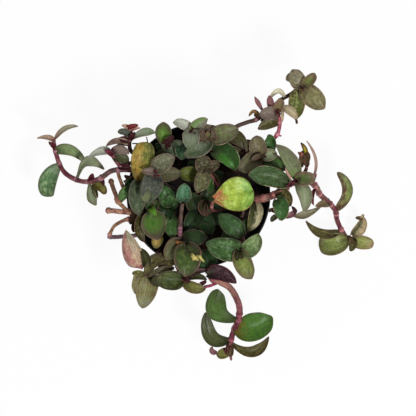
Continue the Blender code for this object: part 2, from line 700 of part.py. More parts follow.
def lay_clear(fixed, loose):
    """Raise or lower each loose piece by the least that leaves it clear of all laid before it."""
    placed = [tree_of(*outline_of(obj)) for obj in fixed]
    for obj in loose:
        verts, faces = outline_of(obj)
        lowest = min(v.z for v in verts)
        for number in range(2 * LAY_REACH + 1):
            rise = (number + 1) // 2 * LAY_STEP * (1 if number % 2 else -1) * MM
            if lowest + rise < SEAT * MM:
                continue
            tries = [tree_of(verts, faces, rise + slip * MM) for slip in (-LAY_MARGIN, 0, LAY_MARGIN)]
            if not any(own.overlap(other) for own in tries for other in placed):
                break
        else:
            raise ValueError(f"{obj.name} finds no clear place")
        obj.data.transform(Matrix.Translation((0, 0, rise)))
        placed.append(tries[1])


def main():
    clear_scene()
    fixed = [make_pot(), make_soil()] + make_stems()
    loose = []
    for name, (colour, carrier, leaf) in SINGLE_LEAVES.items():
        bm = bmesh.new()
        blade(bm, seated(leaf, carrier))
        loose.append(place(name, mesh_from(bm, name), material(name, colour, LEAF_ROUGHNESS)))
    for name, shoot in SHOOTS.items():
        loose.append(place(name, shoot_mesh(name, shoot), material(name, shoot.colour, LEAF_ROUGHNESS)))
    lay_clear(fixed, loose)


main()
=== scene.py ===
"""Potted chain-plant tradescantia: a black nursery pot, its soil, jointed stems and boat-shaped leaves.

Places are in millimetres with the pot's axis at the origin, +Z up and the floor at z = 0. They are
scaled to metres as each mesh is laid. Every piece stands for the one node that it replaces.
"""
import math
import random
from dataclasses import dataclass, replace

import bpy
from mathutils import Matrix, Vector, noise


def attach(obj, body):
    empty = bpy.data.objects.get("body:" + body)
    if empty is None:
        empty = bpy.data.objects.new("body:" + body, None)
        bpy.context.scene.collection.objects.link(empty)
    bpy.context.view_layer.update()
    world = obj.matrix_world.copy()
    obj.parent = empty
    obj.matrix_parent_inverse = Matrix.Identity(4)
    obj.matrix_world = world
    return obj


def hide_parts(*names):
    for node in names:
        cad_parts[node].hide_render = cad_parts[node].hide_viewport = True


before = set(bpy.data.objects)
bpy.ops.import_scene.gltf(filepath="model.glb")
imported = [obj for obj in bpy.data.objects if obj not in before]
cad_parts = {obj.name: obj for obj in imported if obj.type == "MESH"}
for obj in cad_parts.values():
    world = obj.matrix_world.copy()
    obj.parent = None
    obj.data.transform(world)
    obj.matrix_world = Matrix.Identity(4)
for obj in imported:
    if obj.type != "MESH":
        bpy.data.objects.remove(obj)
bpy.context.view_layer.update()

MM = 0.001
UP = Vector((0, 0, 1))

# Sizes that the solids have too, in millimetres.
RIM_RADIUS = 45.0
POT_HEIGHT = 68.0
BASE_RADIUS = 31.0
WALL = 1.2
RIM_BAND = 9.0
RIM_STEP = 1.6
FLOOR = 1.6
SOIL_LEVEL = 57.5
SOIL_MOUND = 2.0
SOIL_GAP = 0.5
DRAIN_HOLES = 6
DRAIN_DIAMETER = 5.0
DRAIN_CIRCLE = 22.0
ROOT_DEPTH = 1.5
TAPER = 0.85

# A leaf: how finely it is divided along and across, how thick it is, and how that thins to edge and tip.
LEAF_ROWS = 14
LEAF_LANES = 8
FLESH = 1.15
FLESH_LEAST = 0.15
THINS_TO_EDGE = 0.55
THINS_TO_TIP = 0.35
FLESHY_WIDTH = 8.0
# Its base: how wide it is, as a share of the leaf, and how far up and how steeply it clasps the stem.
NECK = 0.28
NECK_END = 0.4
CLASP_END = 0.16
CLASP_FOLD = 70.0
# Its cup: the share of the fold that it has at the rib, and what it gains towards the edge.
FOLD_AT_RIB = 0.55
FOLD_GAIN = 0.95
# How unlike its neighbours it may be: twist, sideways bend, waves of its ruffled edge, and lumps.
TWIST = 0.14
TWIST_CENTRE = 0.4
BEND = 0.03
WAVES = (1.2, 2.2)
LUMPS = 0.035
LUMPS_ALONG = 3.2
LUMPS_ACROSS = 1.7
LEAST_HALF_WIDTH = 0.12

# A stem: how closely its route is divided, its lumps, and how wide its swellings and rings are.
STEM_STEP = 1.2
STEM_ROUNDNESS = 2
STEM_LUMPS = 0.09
STEM_LUMP_DENSITY = 0.6
SWELLING = 1.2
RING = 0.9
RING_REACH = 1.4

# The heart of small leaves at a growing tip: the turn of each in degrees, then its reach, width and rise as
# shares of the heart's size; where the leaves bow, as shares of reach and rise; and how deep they stand.
HEART_LEAVES = ((0, 0.9, 0.52, 0.45), (180, 0.75, 0.5, 0.55), (95, 0.55, 0.42, 0.8), (275, 0.5, 0.4, 0.9))
HEART_BOW = (0.6, 0.35)
HEART_FOOT = 0.6

# The pot: how many sides it has, and the angle under which they are smoothed into one another.
POT_SIDES = 96
POT_SMOOTHED = math.radians(32)
# The soil: its sides and rings, the radius of the first ring, and the height at which its side is divided.
SOIL_SIDES = 72
SOIL_RINGS = 22
SOIL_PIT = 0.6
SOIL_SHOULDER = 50
# Its lumps, as density and height, and how far in from its edge they and the chips stay.
SOIL_LUMPS = ((0.22, 1.3), (0.7, 0.8), (1.9, 0.35))
SOIL_EDGE = 3
# The bark chips on the soil: how many, how large, their length, width and thickness, and how rough.
CHIPS = 150
CHIP_SIZES = (0.7, 2.0)
CHIP_SHAPE = (1.3, 0.8, 0.45)
CHIP_LUMPS = 0.35
CHIP_LUMP_DENSITY = 1.7
CHIP_TILT = 0.5
CHIP_LIFT = 0.3
# Two points nearer to each other than this are one, in metres.
TOUCH = 1e-6

# Painted shade deep in the growth in the pot, where little light gets in: from and to, in metres, and how
# much darker the colour is painted there.
CROWD_REACH = (0.038, 0.052)
CROWD_DEPTH = (0.066, 0.088)
CROWD_SHADE = 0.6
LEAF_WARMTH = (0.94, 0.89, 0.77, 1.0)

# The faint shine of leaves, stems and soil, and how deep the bumps of leaves and stems are, in metres.
WAX = 0.12
PLANT_BUMP = 0.0004

# Patterns on a leaf: how dense along and across it, then scale, detail and roughness.
MOTTLE = (4.0, 2.6, 1.3, 4.0, 0.6)
PATCH = (7.0, 4.5, 1.2, 5.0, 0.65)
STREAK = (1.6, 24.0, 1.0, 3.0, 0.6)
GRAIN = (26.0, 17.0, 1.0, 4.0, 0.7)
# Where on a leaf, from base to tip or from rib to edge, each thing comes in: from and to.
MIDDLE_COMES = (0.04, 0.36)
TIP_COMES = (0.55, 0.95)
SIDE_COMES = (0.38, 0.66)
EDGE_COMES = (0.93, 0.985)
RIM_ENDS = 1.05
RIB = (0.0, 0.09)
# The painted shade at the tucked base fades out over this span.
SHADED_BASE_SPAN = (0.0, 0.34)
# How much of a pattern is a blotch, partly mottling and partly painted sheen, and how much of it leaves a gap
# in the pale edge.
BLOTCHED = (0.5, 0.6)
EDGED = (0.36, 0.62)
# How much each of these lightens or darkens a leaf.
TONES = 0.14
STREAKS = 2.2
PATCHES = 1.5
GRAINS = 1.1
# The lighter middle and darker edges are painted shading of the leaf's cup.
PAINTED_CUP_SHADING = 0.28
RIB_DARK = 0.16
# The darker base is painted shade where the leaf tucks under other leaves.
BASE_PAINTED_SHADE = 0.26

# Patterns on a stem, on the pot and in the soil: scale, detail and roughness.
BARK_STREAK = (1.0, 3.0, 0.5)
BARK_PATCH = (260.0, 3.0, 0.6)
SCUFFS = (420.0, 5.0, 0.7)
DUST = (70.0, 4.0, 0.6)
CRUMBS = (900.0, 6.0, 0.7)
DAMP = (180.0, 3.0, 0.6)

# The stage, in metres: where the camera is and the width that it takes in at the rim's height; the paper
# floor and how much it glows where it is seen; how much light the room gives; and where the lamps aim.
CAMERA_AT = (5.94 * MM, -7.81 * MM, 2.5)
SENSOR = 36
VIEW_WIDTH = 0.26
PAPER = (0.95, 0.945, 0.935, 1)
PAPER_GLOW = 0.93
ROOM_LIGHT = 0.28
WHITE = (1, 1, 1, 1)
LAMP_AIM = (0, 0, 0.06)


# ---------------------------------------------------------------- how a finish is worked out


class Reading:
    """A value that nodes work out over a surface; +, - and * add the nodes that they need."""

    def __init__(self, socket):
        self.socket = socket
        self.tree = socket.id_data

    def __add__(self, other):
        return calc(self.tree, "ADD", self, other)

    def __radd__(self, other):
        return calc(self.tree, "ADD", other, self)

    def __sub__(self, other):
        return calc(self.tree, "SUBTRACT", self, other)

    def __rsub__(self, other):
        return calc(self.tree, "SUBTRACT", other, self)

    def __mul__(self, other):
        return calc(self.tree, "MULTIPLY", self, other)

    def step(self, low, high):
        """A soft step from 0 at low to 1 at high."""
        ends = {"Value": self, "From Min": low, "From Max": high}
        return read(self.tree, "ShaderNodeMapRange", ends, interpolation_type="SMOOTHSTEP")

    def between(self, first, second):
        """The first colour where this is 0 and the second where it is 1."""
        return mixed(self.tree, self, first, second)


def feed(value, socket):
    """Link a reading into a socket, or set the plain value on it."""
    if isinstance(value, Reading):
        value.tree.links.new(value.socket, socket)
    else:
        socket.default_value = value


def put(tree, kind, inputs=(), **settings):
    """Add a node, set it, and feed its inputs, which go by name or by number."""
    made = tree.nodes.new(kind)
    for key, value in settings.items():
        setattr(made, key, value)
    for key, value in dict(inputs).items():
        feed(value, made.inputs[key])
    return made


def read(tree, kind, inputs=(), output=0, **settings):
    """Add a node as put does, and give the reading that comes out of it."""
    return Reading(put(tree, kind, inputs, **settings).outputs[output])


def calc(tree, operation, *values, clamp=False):
    return read(tree, "ShaderNodeMath", enumerate(values), operation=operation, use_clamp=clamp)


def mixed(tree, share, first, second, blend="MIX"):
    return read(tree, "ShaderNodeMix", {0: share, 6: first, 7: second}, 2, data_type="RGBA", blend_type=blend)


def shaded(colour, shade):
    return read(colour.tree, "ShaderNodeVectorMath", {0: colour, "Scale": shade}, operation="SCALE")


def cloud(tree, where, scale, detail, roughness):
    look = {"Vector": where, "Scale": scale, "Detail": detail, "Roughness": roughness}
    return read(tree, "ShaderNodeTexNoise", look)


def coordinates(tree, kind):
    return read(tree, "ShaderNodeTexCoord", output=kind)


def parted(tree, kind):
    """The three numbers of a kind of texture coordinates."""
    parts = put(tree, "ShaderNodeSeparateXYZ", {0: coordinates(tree, kind)})
    return [Reading(part) for part in parts.outputs]


def carried(tree, name):
    """The number that write_value left at each point of the mesh."""
    return read(tree, "ShaderNodeAttribute", output="Fac", attribute_name=name)


def tint(red, green, blue):
    """A colour as a screen shows it, 0 to 255, turned into linear light."""
    shares = [c / 255 for c in (red, green, blue)]
    return tuple(c / 12.92 if c <= 0.04045 else ((c + 0.055) / 1.055) ** 2.4 for c in shares) + (1.0,)


# ---------------------------------------------------------------- finishes of leaves and stems


def shared_group(name, colours, values, worked):
    """A shader node group; worked gives its colour, roughness and height from its inputs."""
    group = bpy.data.node_groups.new(name, "ShaderNodeTree")
    inputs = [(title, "NodeSocketColor") for title in colours]
    inputs += [(title, "NodeSocketFloat") for title in values]
    for title, kind in inputs:
        group.interface.new_socket(title, in_out="INPUT", socket_type=kind)
    for title, kind in (("Color", "Color"), ("Roughness", "Float"), ("Height", "Float")):
        group.interface.new_socket(title, in_out="OUTPUT", socket_type="NodeSocket" + kind)
    given = {socket.name: Reading(socket) for socket in put(group, "NodeGroupInput").outputs}
    put(group, "NodeGroupOutput", enumerate(worked(group, given)))
    return group


def painted_crowd_shade(tree):
    """Painted shade: how much a colour is darkened for the growth round it; less than 1 low down among the
    leaves in the pot.
    """
    x, y, z = parted(tree, "Object")
    reach = calc(tree, "SQRT", calc(tree, "POWER", x, 2.0) + calc(tree, "POWER", y, 2.0))
    return 1.0 - (1.0 - reach.step(*CROWD_REACH)) * (1.0 - z.step(*CROWD_DEPTH)) * CROWD_SHADE


def leaf_tint(tree, given):
    """Leaf colour from base to tip, its darker rim, the thin pale edge, streaks along it, and blotches that
    are partly mottling and partly painted sheen; painted shade comes on top.
    """
    along, across, _ = parted(tree, "UV")
    seed = carried(tree, "seed") * 40.0

    def pattern(dense_along, dense_across, *look, start=seed):
        place = enumerate((along * dense_along, across * dense_across, start))
        return cloud(tree, read(tree, "ShaderNodeCombineXYZ", place), *look)

    mottle, streak, grain = pattern(*MOTTLE), pattern(*STREAK), pattern(*GRAIN)
    patch = pattern(*PATCH, start=seed + 9.0)
    # How far a place is from the rib, and from the leaf's middle, where 1 is its edge or its tip.
    out = calc(tree, "ABSOLUTE", across - 0.5) * 2.0
    outer = calc(tree, "MAXIMUM", out, (along - 0.5) * 2.0)
    drift = (mottle - 0.5) * 0.7
    colour = (along + drift).step(*MIDDLE_COMES).between(given["Base"], given["Middle"])
    colour = (along + drift).step(*TIP_COMES).between(colour, given["Tip"])
    sideways = (across + drift).step(*SIDE_COMES) * given["Side Share"]
    colour = sideways.between(colour, given["Side"])
    # Pale blotches: partly the leaf's own mottling, partly painted sheen where a glossy leaf catches light.
    blotches_and_sheen = calc(tree, "MULTIPLY", patch.step(*BLOTCHED) * given["Blotches"], 1.5, clamp=True)
    colour = blotches_and_sheen.between(colour, given["Blotch"])
    rim = (outer + drift).step(1.0 - given["Rim Width"], RIM_ENDS) * 0.85
    colour = rim.between(colour, given["Rim"])
    edge = outer.step(*EDGE_COMES) * mottle.step(*EDGED)
    colour = edge.between(colour, given["Edge"])
    # Each leaf has its own tone; its middle is painted lighter and its edges darker as the shading of its
    # cup, it is darker along its rib, and its tucked base has painted shade.
    shade = carried(tree, "tone") * TONES + 1.0
    shade += (streak - 0.5) * given["Streaks"] * STREAKS
    shade += (patch - 0.5) * PATCHES
    shade += (grain - 0.5) * GRAINS
    shade += (0.4 - outer * outer) * PAINTED_CUP_SHADING
    shade -= (1.0 - out.step(*RIB)) * RIB_DARK
    shade -= (1.0 - along.step(*SHADED_BASE_SPAN)) * BASE_PAINTED_SHADE
    warm = mixed(tree, 1.0, colour, LEAF_WARMTH, "MULTIPLY")
    rough = 0.62 - given["Gloss"] * 0.34 + (mottle - 0.5) * 0.3
    # Painted shade deep among the leaves in the pot darkens the leaf colour.
    return shaded(warm, shade * painted_crowd_shade(tree)), rough, streak * 0.6 + grain * 0.35


def stem_tint(tree, given):
    """Stem colour: streaks along it, patches, pale rings where its joints are, and painted shade low among
    the leaves.
    """
    around, along, _ = parted(tree, "UV")
    place = enumerate((around * 9.0, along * 5.0, 0.0))
    streak = cloud(tree, read(tree, "ShaderNodeCombineXYZ", place), *BARK_STREAK)
    patch = cloud(tree, coordinates(tree, "Object"), *BARK_PATCH)
    pale = (patch + (streak - 0.5) * 0.5).step(0.4, 0.7)
    late = (carried(tree, "tone") + (patch - 0.5)).step(0.35, 0.6)
    skin = late.between(given["Skin"], given["Late Skin"])
    colour = pale.between(skin, late.between(given["Pale"], given["Late Pale"]))
    colour = carried(tree, "joint").between(colour, given["Ring"])
    # Painted shade deep among the leaves in the pot darkens the stem colour.
    shade = (1.0 + (streak - 0.5) * given["Streaks"] * 1.6) * painted_crowd_shade(tree)
    return shaded(colour, shade), 0.38 + patch * 0.25, streak + patch * 0.5


LEAF_TINT = shared_group(
    "leaf_tint", ("Base", "Middle", "Tip", "Rim", "Edge", "Side", "Blotch"),
    ("Rim Width", "Streaks", "Blotches", "Side Share", "Gloss"), leaf_tint)
STEM_TINT = shared_group(
    "stem_tint", ("Skin", "Pale", "Ring", "Late Skin", "Late Pale"), ("Streaks",), stem_tint)


def surface(name, worked, bump, depth, shine=WAX):
    """A material; worked gives its colour, its roughness and the height that its bumps follow."""
    made = bpy.data.materials.new(name)
    made.use_nodes = True
    tree = made.node_tree
    colour, rough, height = worked(tree)
    normal = read(tree, "ShaderNodeBump", {"Strength": bump, "Distance": depth, "Height": height})
    look = {"Base Color": colour, "Roughness": rough, "Specular IOR Level": shine, "Normal": normal}
    for title, value in look.items():
        feed(value, tree.nodes["Principled BSDF"].inputs[title])
    return made


def plant_finish(name, group, given, bump):
    """A material whose colour, roughness and height come from one of the shared groups."""

    def worked(tree):
        return [Reading(socket) for socket in put(tree, "ShaderNodeGroup", given, node_tree=group).outputs]

    return surface(name, worked, bump, PLANT_BUMP)


@dataclass
class Coat:
    """The colours of one kind of leaf, from its base to its tip, and of its back."""

    base: tuple
    middle: tuple
    tip: tuple
    rim: tuple
    edge: tuple
    back: tuple
    side: tuple = (90, 110, 70)
    side_share: float = 0.0
    # The blotch colour is partly mottling and partly painted sheen.
    blotch: tuple = (150, 155, 100)
    blotches: float = 0.0
    rim_width: float = 0.45
    streaks: float = 0.35
    gloss: float = 0.6


COATS = {
    "sage": Coat(
        (84, 82, 68), (98, 102, 84), (102, 104, 88), (98, 90, 80), (178, 158, 146), (110, 84, 82),
        blotch=(122, 126, 108), blotches=0.35),
    "silver": Coat(
        (138, 144, 138), (176, 184, 180), (168, 176, 168), (160, 160, 152), (216, 208, 200),
        (140, 110, 110), blotch=(134, 156, 124), blotches=0.3),
    "silver_green": Coat(
        (132, 136, 126), (130, 142, 128), (96, 120, 86), (126, 126, 114), (206, 196, 184), (134, 106, 104),
        rim_width=0.35, blotch=(108, 126, 98), blotches=0.4),
    "grey_olive": Coat(
        (82, 78, 60), (98, 98, 74), (104, 102, 80), (94, 84, 72), (160, 140, 126), (100, 72, 72)),
    "slate": Coat(
        (56, 60, 60), (78, 84, 82), (80, 96, 72), (88, 90, 84), (148, 148, 138), (84, 68, 70),
        blotch=(98, 108, 94), blotches=0.4, streaks=0.4),
    "slate_green": Coat(
        (58, 70, 54), (78, 92, 74), (76, 94, 66), (96, 98, 88), (160, 160, 146), (84, 70, 68), streaks=0.4,
        blotch=(100, 112, 94), blotches=0.4),
    "brown_olive": Coat(
        (52, 42, 36), (70, 68, 50), (84, 80, 62), (92, 74, 66), (158, 128, 118), (84, 54, 56),
        blotch=(104, 106, 84), blotches=0.5),
    "mottled_olive": Coat(
        (70, 66, 50), (92, 94, 68), (104, 108, 80), (98, 88, 74), (154, 136, 120), (94, 70, 68),
        blotch=(126, 128, 96), blotches=0.5, streaks=0.6),
    "mauve_grey": Coat(
        (92, 78, 78), (122, 110, 106), (118, 106, 102), (112, 92, 92), (186, 162, 156), (116, 80, 86),
        rim_width=0.35),
    "blue_green": Coat(
        (54, 78, 62), (44, 80, 56), (60, 96, 70), (84, 98, 80), (146, 156, 138), (80, 66, 66), gloss=0.85,
        blotch=(110, 138, 112), blotches=0.3),
    "deep_green": Coat(
        (34, 50, 30), (44, 76, 40), (52, 84, 48), (52, 58, 40), (104, 100, 80), (58, 40, 40), gloss=0.8),
    "glossy_green": Coat(
        (44, 70, 38), (56, 94, 50), (66, 106, 64), (60, 78, 50), (112, 118, 92), (70, 48, 46), gloss=1.0,
        blotch=(118, 148, 110), blotches=0.25),
    "yellow_green": Coat(
        (66, 74, 34), (88, 100, 42), (96, 106, 50), (80, 84, 46), (118, 110, 72), (80, 72, 46),
        blotch=(110, 116, 58), blotches=0.35),
    "vivid_green": Coat(
        (80, 92, 68), (58, 108, 42), (60, 110, 44), (70, 84, 56), (170, 176, 150), (76, 66, 54),
        side=(32, 54, 26), side_share=0.8, gloss=0.75, rim_width=0.25),
    "green_cup": Coat(
        (74, 112, 48), (86, 134, 56), (98, 92, 76), (106, 96, 84), (160, 138, 126), (122, 90, 86),
        rim_width=0.62, streaks=0.4, blotch=(94, 98, 66), blotches=0.4),
    "rim_cup": Coat(
        (78, 100, 50), (98, 140, 58), (96, 104, 70), (96, 88, 78), (142, 128, 116), (104, 80, 76),
        rim_width=0.85, streaks=0.4),
    "split_green": Coat(
        (110, 112, 98), (128, 132, 118), (128, 126, 114), (130, 120, 112), (186, 162, 152), (130, 100, 98),
        side=(100, 134, 78), side_share=0.85, rim_width=0.3),
    "green_heart": Coat(
        (78, 84, 48), (98, 116, 58), (120, 104, 84), (124, 102, 86), (176, 150, 134), (116, 82, 76),
        rim_width=1.15),
    "teal": Coat(
        (44, 66, 50), (66, 108, 84), (78, 126, 100), (80, 92, 74), (144, 140, 120), (74, 72, 64),
        blotch=(108, 150, 122), blotches=0.2, streaks=1.7, rim_width=0.3, gloss=0.75),
    "lime": Coat(
        (208, 110, 96), (168, 196, 82), (132, 182, 84), (104, 148, 66), (190, 150, 84), (150, 150, 90),
        blotch=(196, 222, 140), blotches=0.3, streaks=0.5, rim_width=0.2, gloss=0.8),
    "ochre": Coat(
        (90, 88, 44), (114, 120, 60), (122, 128, 70), (106, 106, 60), (156, 144, 90), (120, 90, 50),
        side=(196, 152, 68), side_share=0.5, blotch=(176, 166, 92), blotches=0.3, streaks=1.0,
        rim_width=0.25),
    "rose": Coat(
        (160, 84, 98), (178, 156, 136), (158, 164, 146), (168, 146, 126), (186, 168, 146), (150, 100, 90),
        side=(166, 104, 114), side_share=0.75, blotch=(188, 174, 150), blotches=0.35, streaks=0.9,
        rim_width=0.2, gloss=0.8),
    "plum": Coat(
        (70, 66, 58), (56, 36, 46), (50, 26, 36), (64, 32, 44), (150, 56, 72), (126, 46, 58), streaks=0.7,
        gloss=0.7, blotch=(104, 84, 92), blotches=0.25),
    "cream": Coat(
        (44, 46, 26), (54, 58, 32), (96, 98, 60), (84, 84, 52), (170, 166, 136), (120, 118, 88),
        side=(196, 194, 164), side_share=1.0, streaks=1.2, rim_width=0.15),
    "pale_green": Coat(
        (80, 108, 62), (106, 134, 88), (118, 142, 98), (102, 114, 80), (166, 164, 138), (104, 84, 76),
        blotch=(160, 178, 142), blotches=0.35, gloss=0.9),
    "mid_green": Coat(
        (58, 84, 42), (70, 110, 58), (80, 118, 66), (78, 90, 58), (178, 166, 142), (110, 78, 74),
        gloss=0.75, blotch=(116, 150, 106), blotches=0.3),
    "tan_edged": Coat(
        (60, 72, 44), (62, 86, 48), (80, 108, 74), (66, 84, 52), (206, 186, 162), (150, 118, 104),
        rim_width=0.2, gloss=0.85, blotch=(98, 128, 98), blotches=0.25, streaks=0.7),
    "edged_sage": Coat(
        (110, 134, 72), (112, 122, 96), (116, 120, 102), (116, 112, 96), (170, 156, 140), (110, 84, 82),
        side=(108, 140, 70), side_share=0.35),
    "grey_green": Coat(
        (88, 88, 68), (110, 114, 86), (116, 116, 94), (106, 96, 82), (196, 168, 156), (104, 76, 76),
        blotch=(100, 126, 76), blotches=0.3),
    "dark_edged": Coat(
        (54, 48, 36), (58, 78, 44), (66, 84, 50), (72, 64, 54), (158, 126, 114), (96, 58, 62), gloss=0.7,
        blotch=(48, 92, 40), blotches=0.4),
    "torn_yellow": Coat(
        (96, 98, 60), (118, 124, 74), (140, 140, 88), (120, 112, 78), (176, 168, 122), (96, 78, 56),
        blotch=(104, 120, 68), blotches=0.5, streaks=0.9),
    "yellow_olive": Coat(
        (84, 80, 44), (100, 104, 58), (100, 96, 60), (104, 82, 66), (158, 122, 106), (110, 74, 60),
        blotch=(122, 122, 68), blotches=0.35),
    "broad_green": Coat(
        (108, 98, 38), (73, 114, 46), (78, 118, 53), (57, 79, 37), (122, 122, 85), (90, 68, 56),
        blotch=(48, 82, 35), blotches=0.5, rim_width=0.25, gloss=0.85),
    "crescent_green": Coat(
        (58, 70, 35), (76, 106, 51), (70, 90, 48), (62, 80, 44), (106, 101, 72), (90, 68, 56),
        blotch=(52, 66, 35), blotches=0.45, streaks=0.6, gloss=0.8),
    "olive_pale_tip": Coat(
        (58, 60, 38), (80, 90, 55), (122, 132, 113), (70, 72, 50), (112, 101, 83), (86, 66, 57),
        streaks=0.7, gloss=0.8, blotch=(55, 53, 35), blotches=0.4),
    "dark_olive": Coat(
        (50, 46, 32), (72, 70, 42), (88, 84, 54), (76, 62, 48), (136, 114, 92), (80, 54, 48),
        blotch=(112, 108, 66), blotches=0.4, streaks=0.7),
    "west_hanging": Coat(
        (126, 150, 130), (92, 128, 92), (80, 114, 70), (96, 114, 90), (160, 160, 140), (104, 82, 78),
        gloss=0.95, blotch=(150, 168, 136), blotches=0.35, streaks=0.6),
    "upright_green": Coat(
        (112, 80, 74), (126, 144, 86), (128, 140, 102), (108, 100, 78), (150, 126, 108), (112, 80, 74),
        side=(100, 74, 62), side_share=1.0, streaks=0.8, blotch=(142, 158, 94), blotches=0.4),
    "maroon_cup": Coat(
        (74, 22, 34), (84, 32, 44), (92, 44, 54), (100, 52, 60), (140, 88, 94), (120, 56, 68), streaks=0.5),
    "red_cup": Coat(
        (98, 38, 42), (116, 48, 52), (110, 52, 54), (96, 44, 46), (164, 110, 106), (122, 60, 64),
        streaks=0.5),
    "pink_ear": Coat(
        (190, 130, 130), (196, 156, 150), (206, 176, 168), (190, 150, 146), (216, 190, 182),
        (180, 130, 130)),
    "mauve_bract": Coat(
        (112, 70, 82), (128, 88, 98), (140, 104, 108), (120, 80, 90), (160, 120, 124), (110, 60, 76)),
    "brown_dry": Coat(
        (96, 66, 44), (124, 92, 62), (146, 116, 84), (104, 76, 52), (170, 140, 108), (110, 80, 56),
        streaks=1.2, blotches=0.6, blotch=(168, 142, 98), gloss=0.35),
    "wilted": Coat(
        (84, 70, 42), (98, 96, 52), (112, 104, 66), (80, 56, 42), (156, 122, 86), (96, 66, 46), streaks=1.0,
        blotches=0.5, blotch=(124, 124, 70), gloss=0.5),
    "bud_green": Coat(
        (84, 120, 44), (92, 140, 48), (100, 150, 56), (90, 120, 60), (120, 130, 80), (80, 90, 50)),
    "dry_yellow": Coat(
        (120, 110, 58), (214, 188, 112), (188, 172, 104), (112, 106, 62), (168, 156, 104), (110, 92, 52),
        streaks=0.7, rim_width=0.8),
    "spot_green": Coat(
        (84, 92, 70), (102, 112, 84), (106, 116, 84), (90, 96, 80), (100, 104, 88), (84, 76, 68),
        rim_width=0.6, gloss=0.8),
    "south_dark_green": Coat(
        (62, 62, 42), (62, 84, 42), (74, 84, 52), (88, 74, 66), (158, 128, 120), (94, 60, 62), gloss=0.75,
        blotch=(90, 106, 60), blotches=0.45),
    "south_green": Coat(
        (64, 70, 42), (70, 84, 48), (84, 92, 60), (80, 74, 56), (126, 108, 92), (98, 66, 58), gloss=0.8,
        blotch=(104, 112, 80), blotches=0.35, streaks=0.6),
    "cup_brown": Coat(
        (98, 94, 80), (92, 94, 68), (84, 98, 54), (108, 92, 80), (150, 128, 116), (110, 80, 76),
        rim_width=0.6),
    "streaked_green": Coat(
        (56, 78, 44), (62, 94, 52), (66, 98, 60), (66, 80, 54), (124, 124, 100), (96, 76, 70), gloss=0.85,
        blotch=(100, 130, 94), blotches=0.45, streaks=1.3, rim_width=0.35),
    "dim_green": Coat(
        (46, 64, 36), (54, 84, 50), (58, 86, 54), (52, 62, 42), (84, 84, 64), (70, 48, 46), gloss=0.8,
        blotch=(84, 116, 80), blotches=0.3),
    "south_cup": Coat(
        (70, 70, 42), (108, 122, 66), (102, 104, 76), (98, 86, 72), (150, 130, 112), (106, 78, 74),
        rim_width=0.6, streaks=0.5, blotch=(124, 136, 82), blotches=0.25),
    "deep_olive": Coat(
        (38, 40, 24), (52, 58, 32), (58, 60, 36), (52, 44, 34), (96, 78, 62), (64, 44, 40), streaks=0.6),
    "dim_olive": Coat((66, 70, 50), (78, 84, 58), (84, 88, 62), (74, 68, 54), (124, 108, 92), (80, 58, 56)),
    "olive_sage": Coat(
        (94, 106, 74), (122, 144, 104), (130, 148, 120), (118, 118, 94), (174, 162, 144), (124, 100, 90),
        streaks=0.6),
    "pale_sage": Coat(
        (96, 104, 82), (126, 138, 116), (134, 142, 124), (118, 114, 98), (186, 174, 158), (122, 98, 94),
        blotch=(104, 122, 88), blotches=0.4, streaks=0.6),
    "maroon_dark": Coat(
        (46, 20, 26), (60, 28, 34), (70, 34, 40), (64, 34, 38), (112, 70, 74), (84, 38, 46), streaks=0.6),
    "magenta_cup": Coat(
        (84, 26, 46), (106, 42, 64), (122, 62, 80), (98, 46, 62), (160, 106, 116), (112, 50, 70),
        streaks=0.5),
    "mauve_dark": Coat((60, 40, 46), (76, 56, 58), (84, 60, 62), (72, 48, 52), (120, 88, 90), (74, 40, 48)),
    "mauve_pale": Coat(
        (138, 108, 104), (174, 150, 144), (184, 162, 156), (152, 124, 120), (208, 188, 180),
        (142, 106, 104)),
    "tip_split": Coat(
        (120, 110, 84), (196, 182, 154), (190, 168, 140), (170, 150, 124), (206, 188, 162), (110, 84, 74),
        side=(78, 80, 54), side_share=1.0, streaks=0.7),
    "torn_pale": Coat(
        (150, 150, 84), (206, 200, 130), (190, 184, 116), (160, 150, 90), (216, 208, 150), (120, 110, 66),
        streaks=0.9),
    "cup_tan": Coat(
        (72, 60, 48), (110, 100, 72), (122, 106, 86), (126, 104, 88), (180, 154, 136), (112, 84, 76),
        rim_width=0.9),
    "torn_sage": Coat(
        (104, 90, 64), (122, 118, 84), (148, 154, 138), (128, 114, 94), (190, 174, 152), (120, 88, 82),
        blotch=(108, 124, 74), blotches=0.5, streaks=0.8),
    "nested_rim": Coat(
        (70, 60, 50), (92, 84, 70), (98, 88, 76), (92, 74, 66), (178, 142, 136), (104, 72, 72)),
    "mottled_brown": Coat(
        (76, 68, 54), (104, 98, 78), (108, 102, 82), (100, 86, 74), (176, 152, 136), (96, 70, 66),
        blotch=(128, 126, 100), blotches=0.35, streaks=0.4),
    "west_tip_sage": Coat(
        (140, 102, 98), (144, 142, 126), (156, 156, 140), (138, 130, 116), (190, 176, 162),
        (150, 140, 126)),
    "stub_rose": Coat(
        (140, 80, 80), (172, 110, 106), (166, 112, 108), (146, 90, 90), (196, 146, 138), (136, 82, 84),
        streaks=0.7),
    "floor_green": Coat(
        (118, 120, 72), (146, 162, 98), (142, 154, 104), (118, 108, 76), (164, 140, 112), (112, 86, 72),
        blotch=(106, 124, 70), blotches=0.6, streaks=0.9, gloss=0.8, rim_width=0.6),
    "litter": Coat(
        (44, 30, 22), (60, 42, 28), (66, 46, 34), (50, 34, 26), (88, 66, 48), (56, 38, 30), streaks=1.2,
        gloss=0.3),
    "shade_green": Coat(
        (46, 46, 34), (42, 66, 34), (46, 70, 38), (70, 58, 52), (136, 108, 100), (84, 50, 52),
        rim_width=0.35, gloss=0.8),
    "cup_rim": Coat(
        (50, 46, 34), (64, 62, 44), (84, 66, 58), (104, 74, 68), (146, 108, 100), (76, 46, 48),
        rim_width=0.5),
    "brown_green": Coat(
        (60, 52, 40), (84, 82, 56), (90, 86, 64), (82, 66, 54), (140, 118, 100), (84, 58, 54),
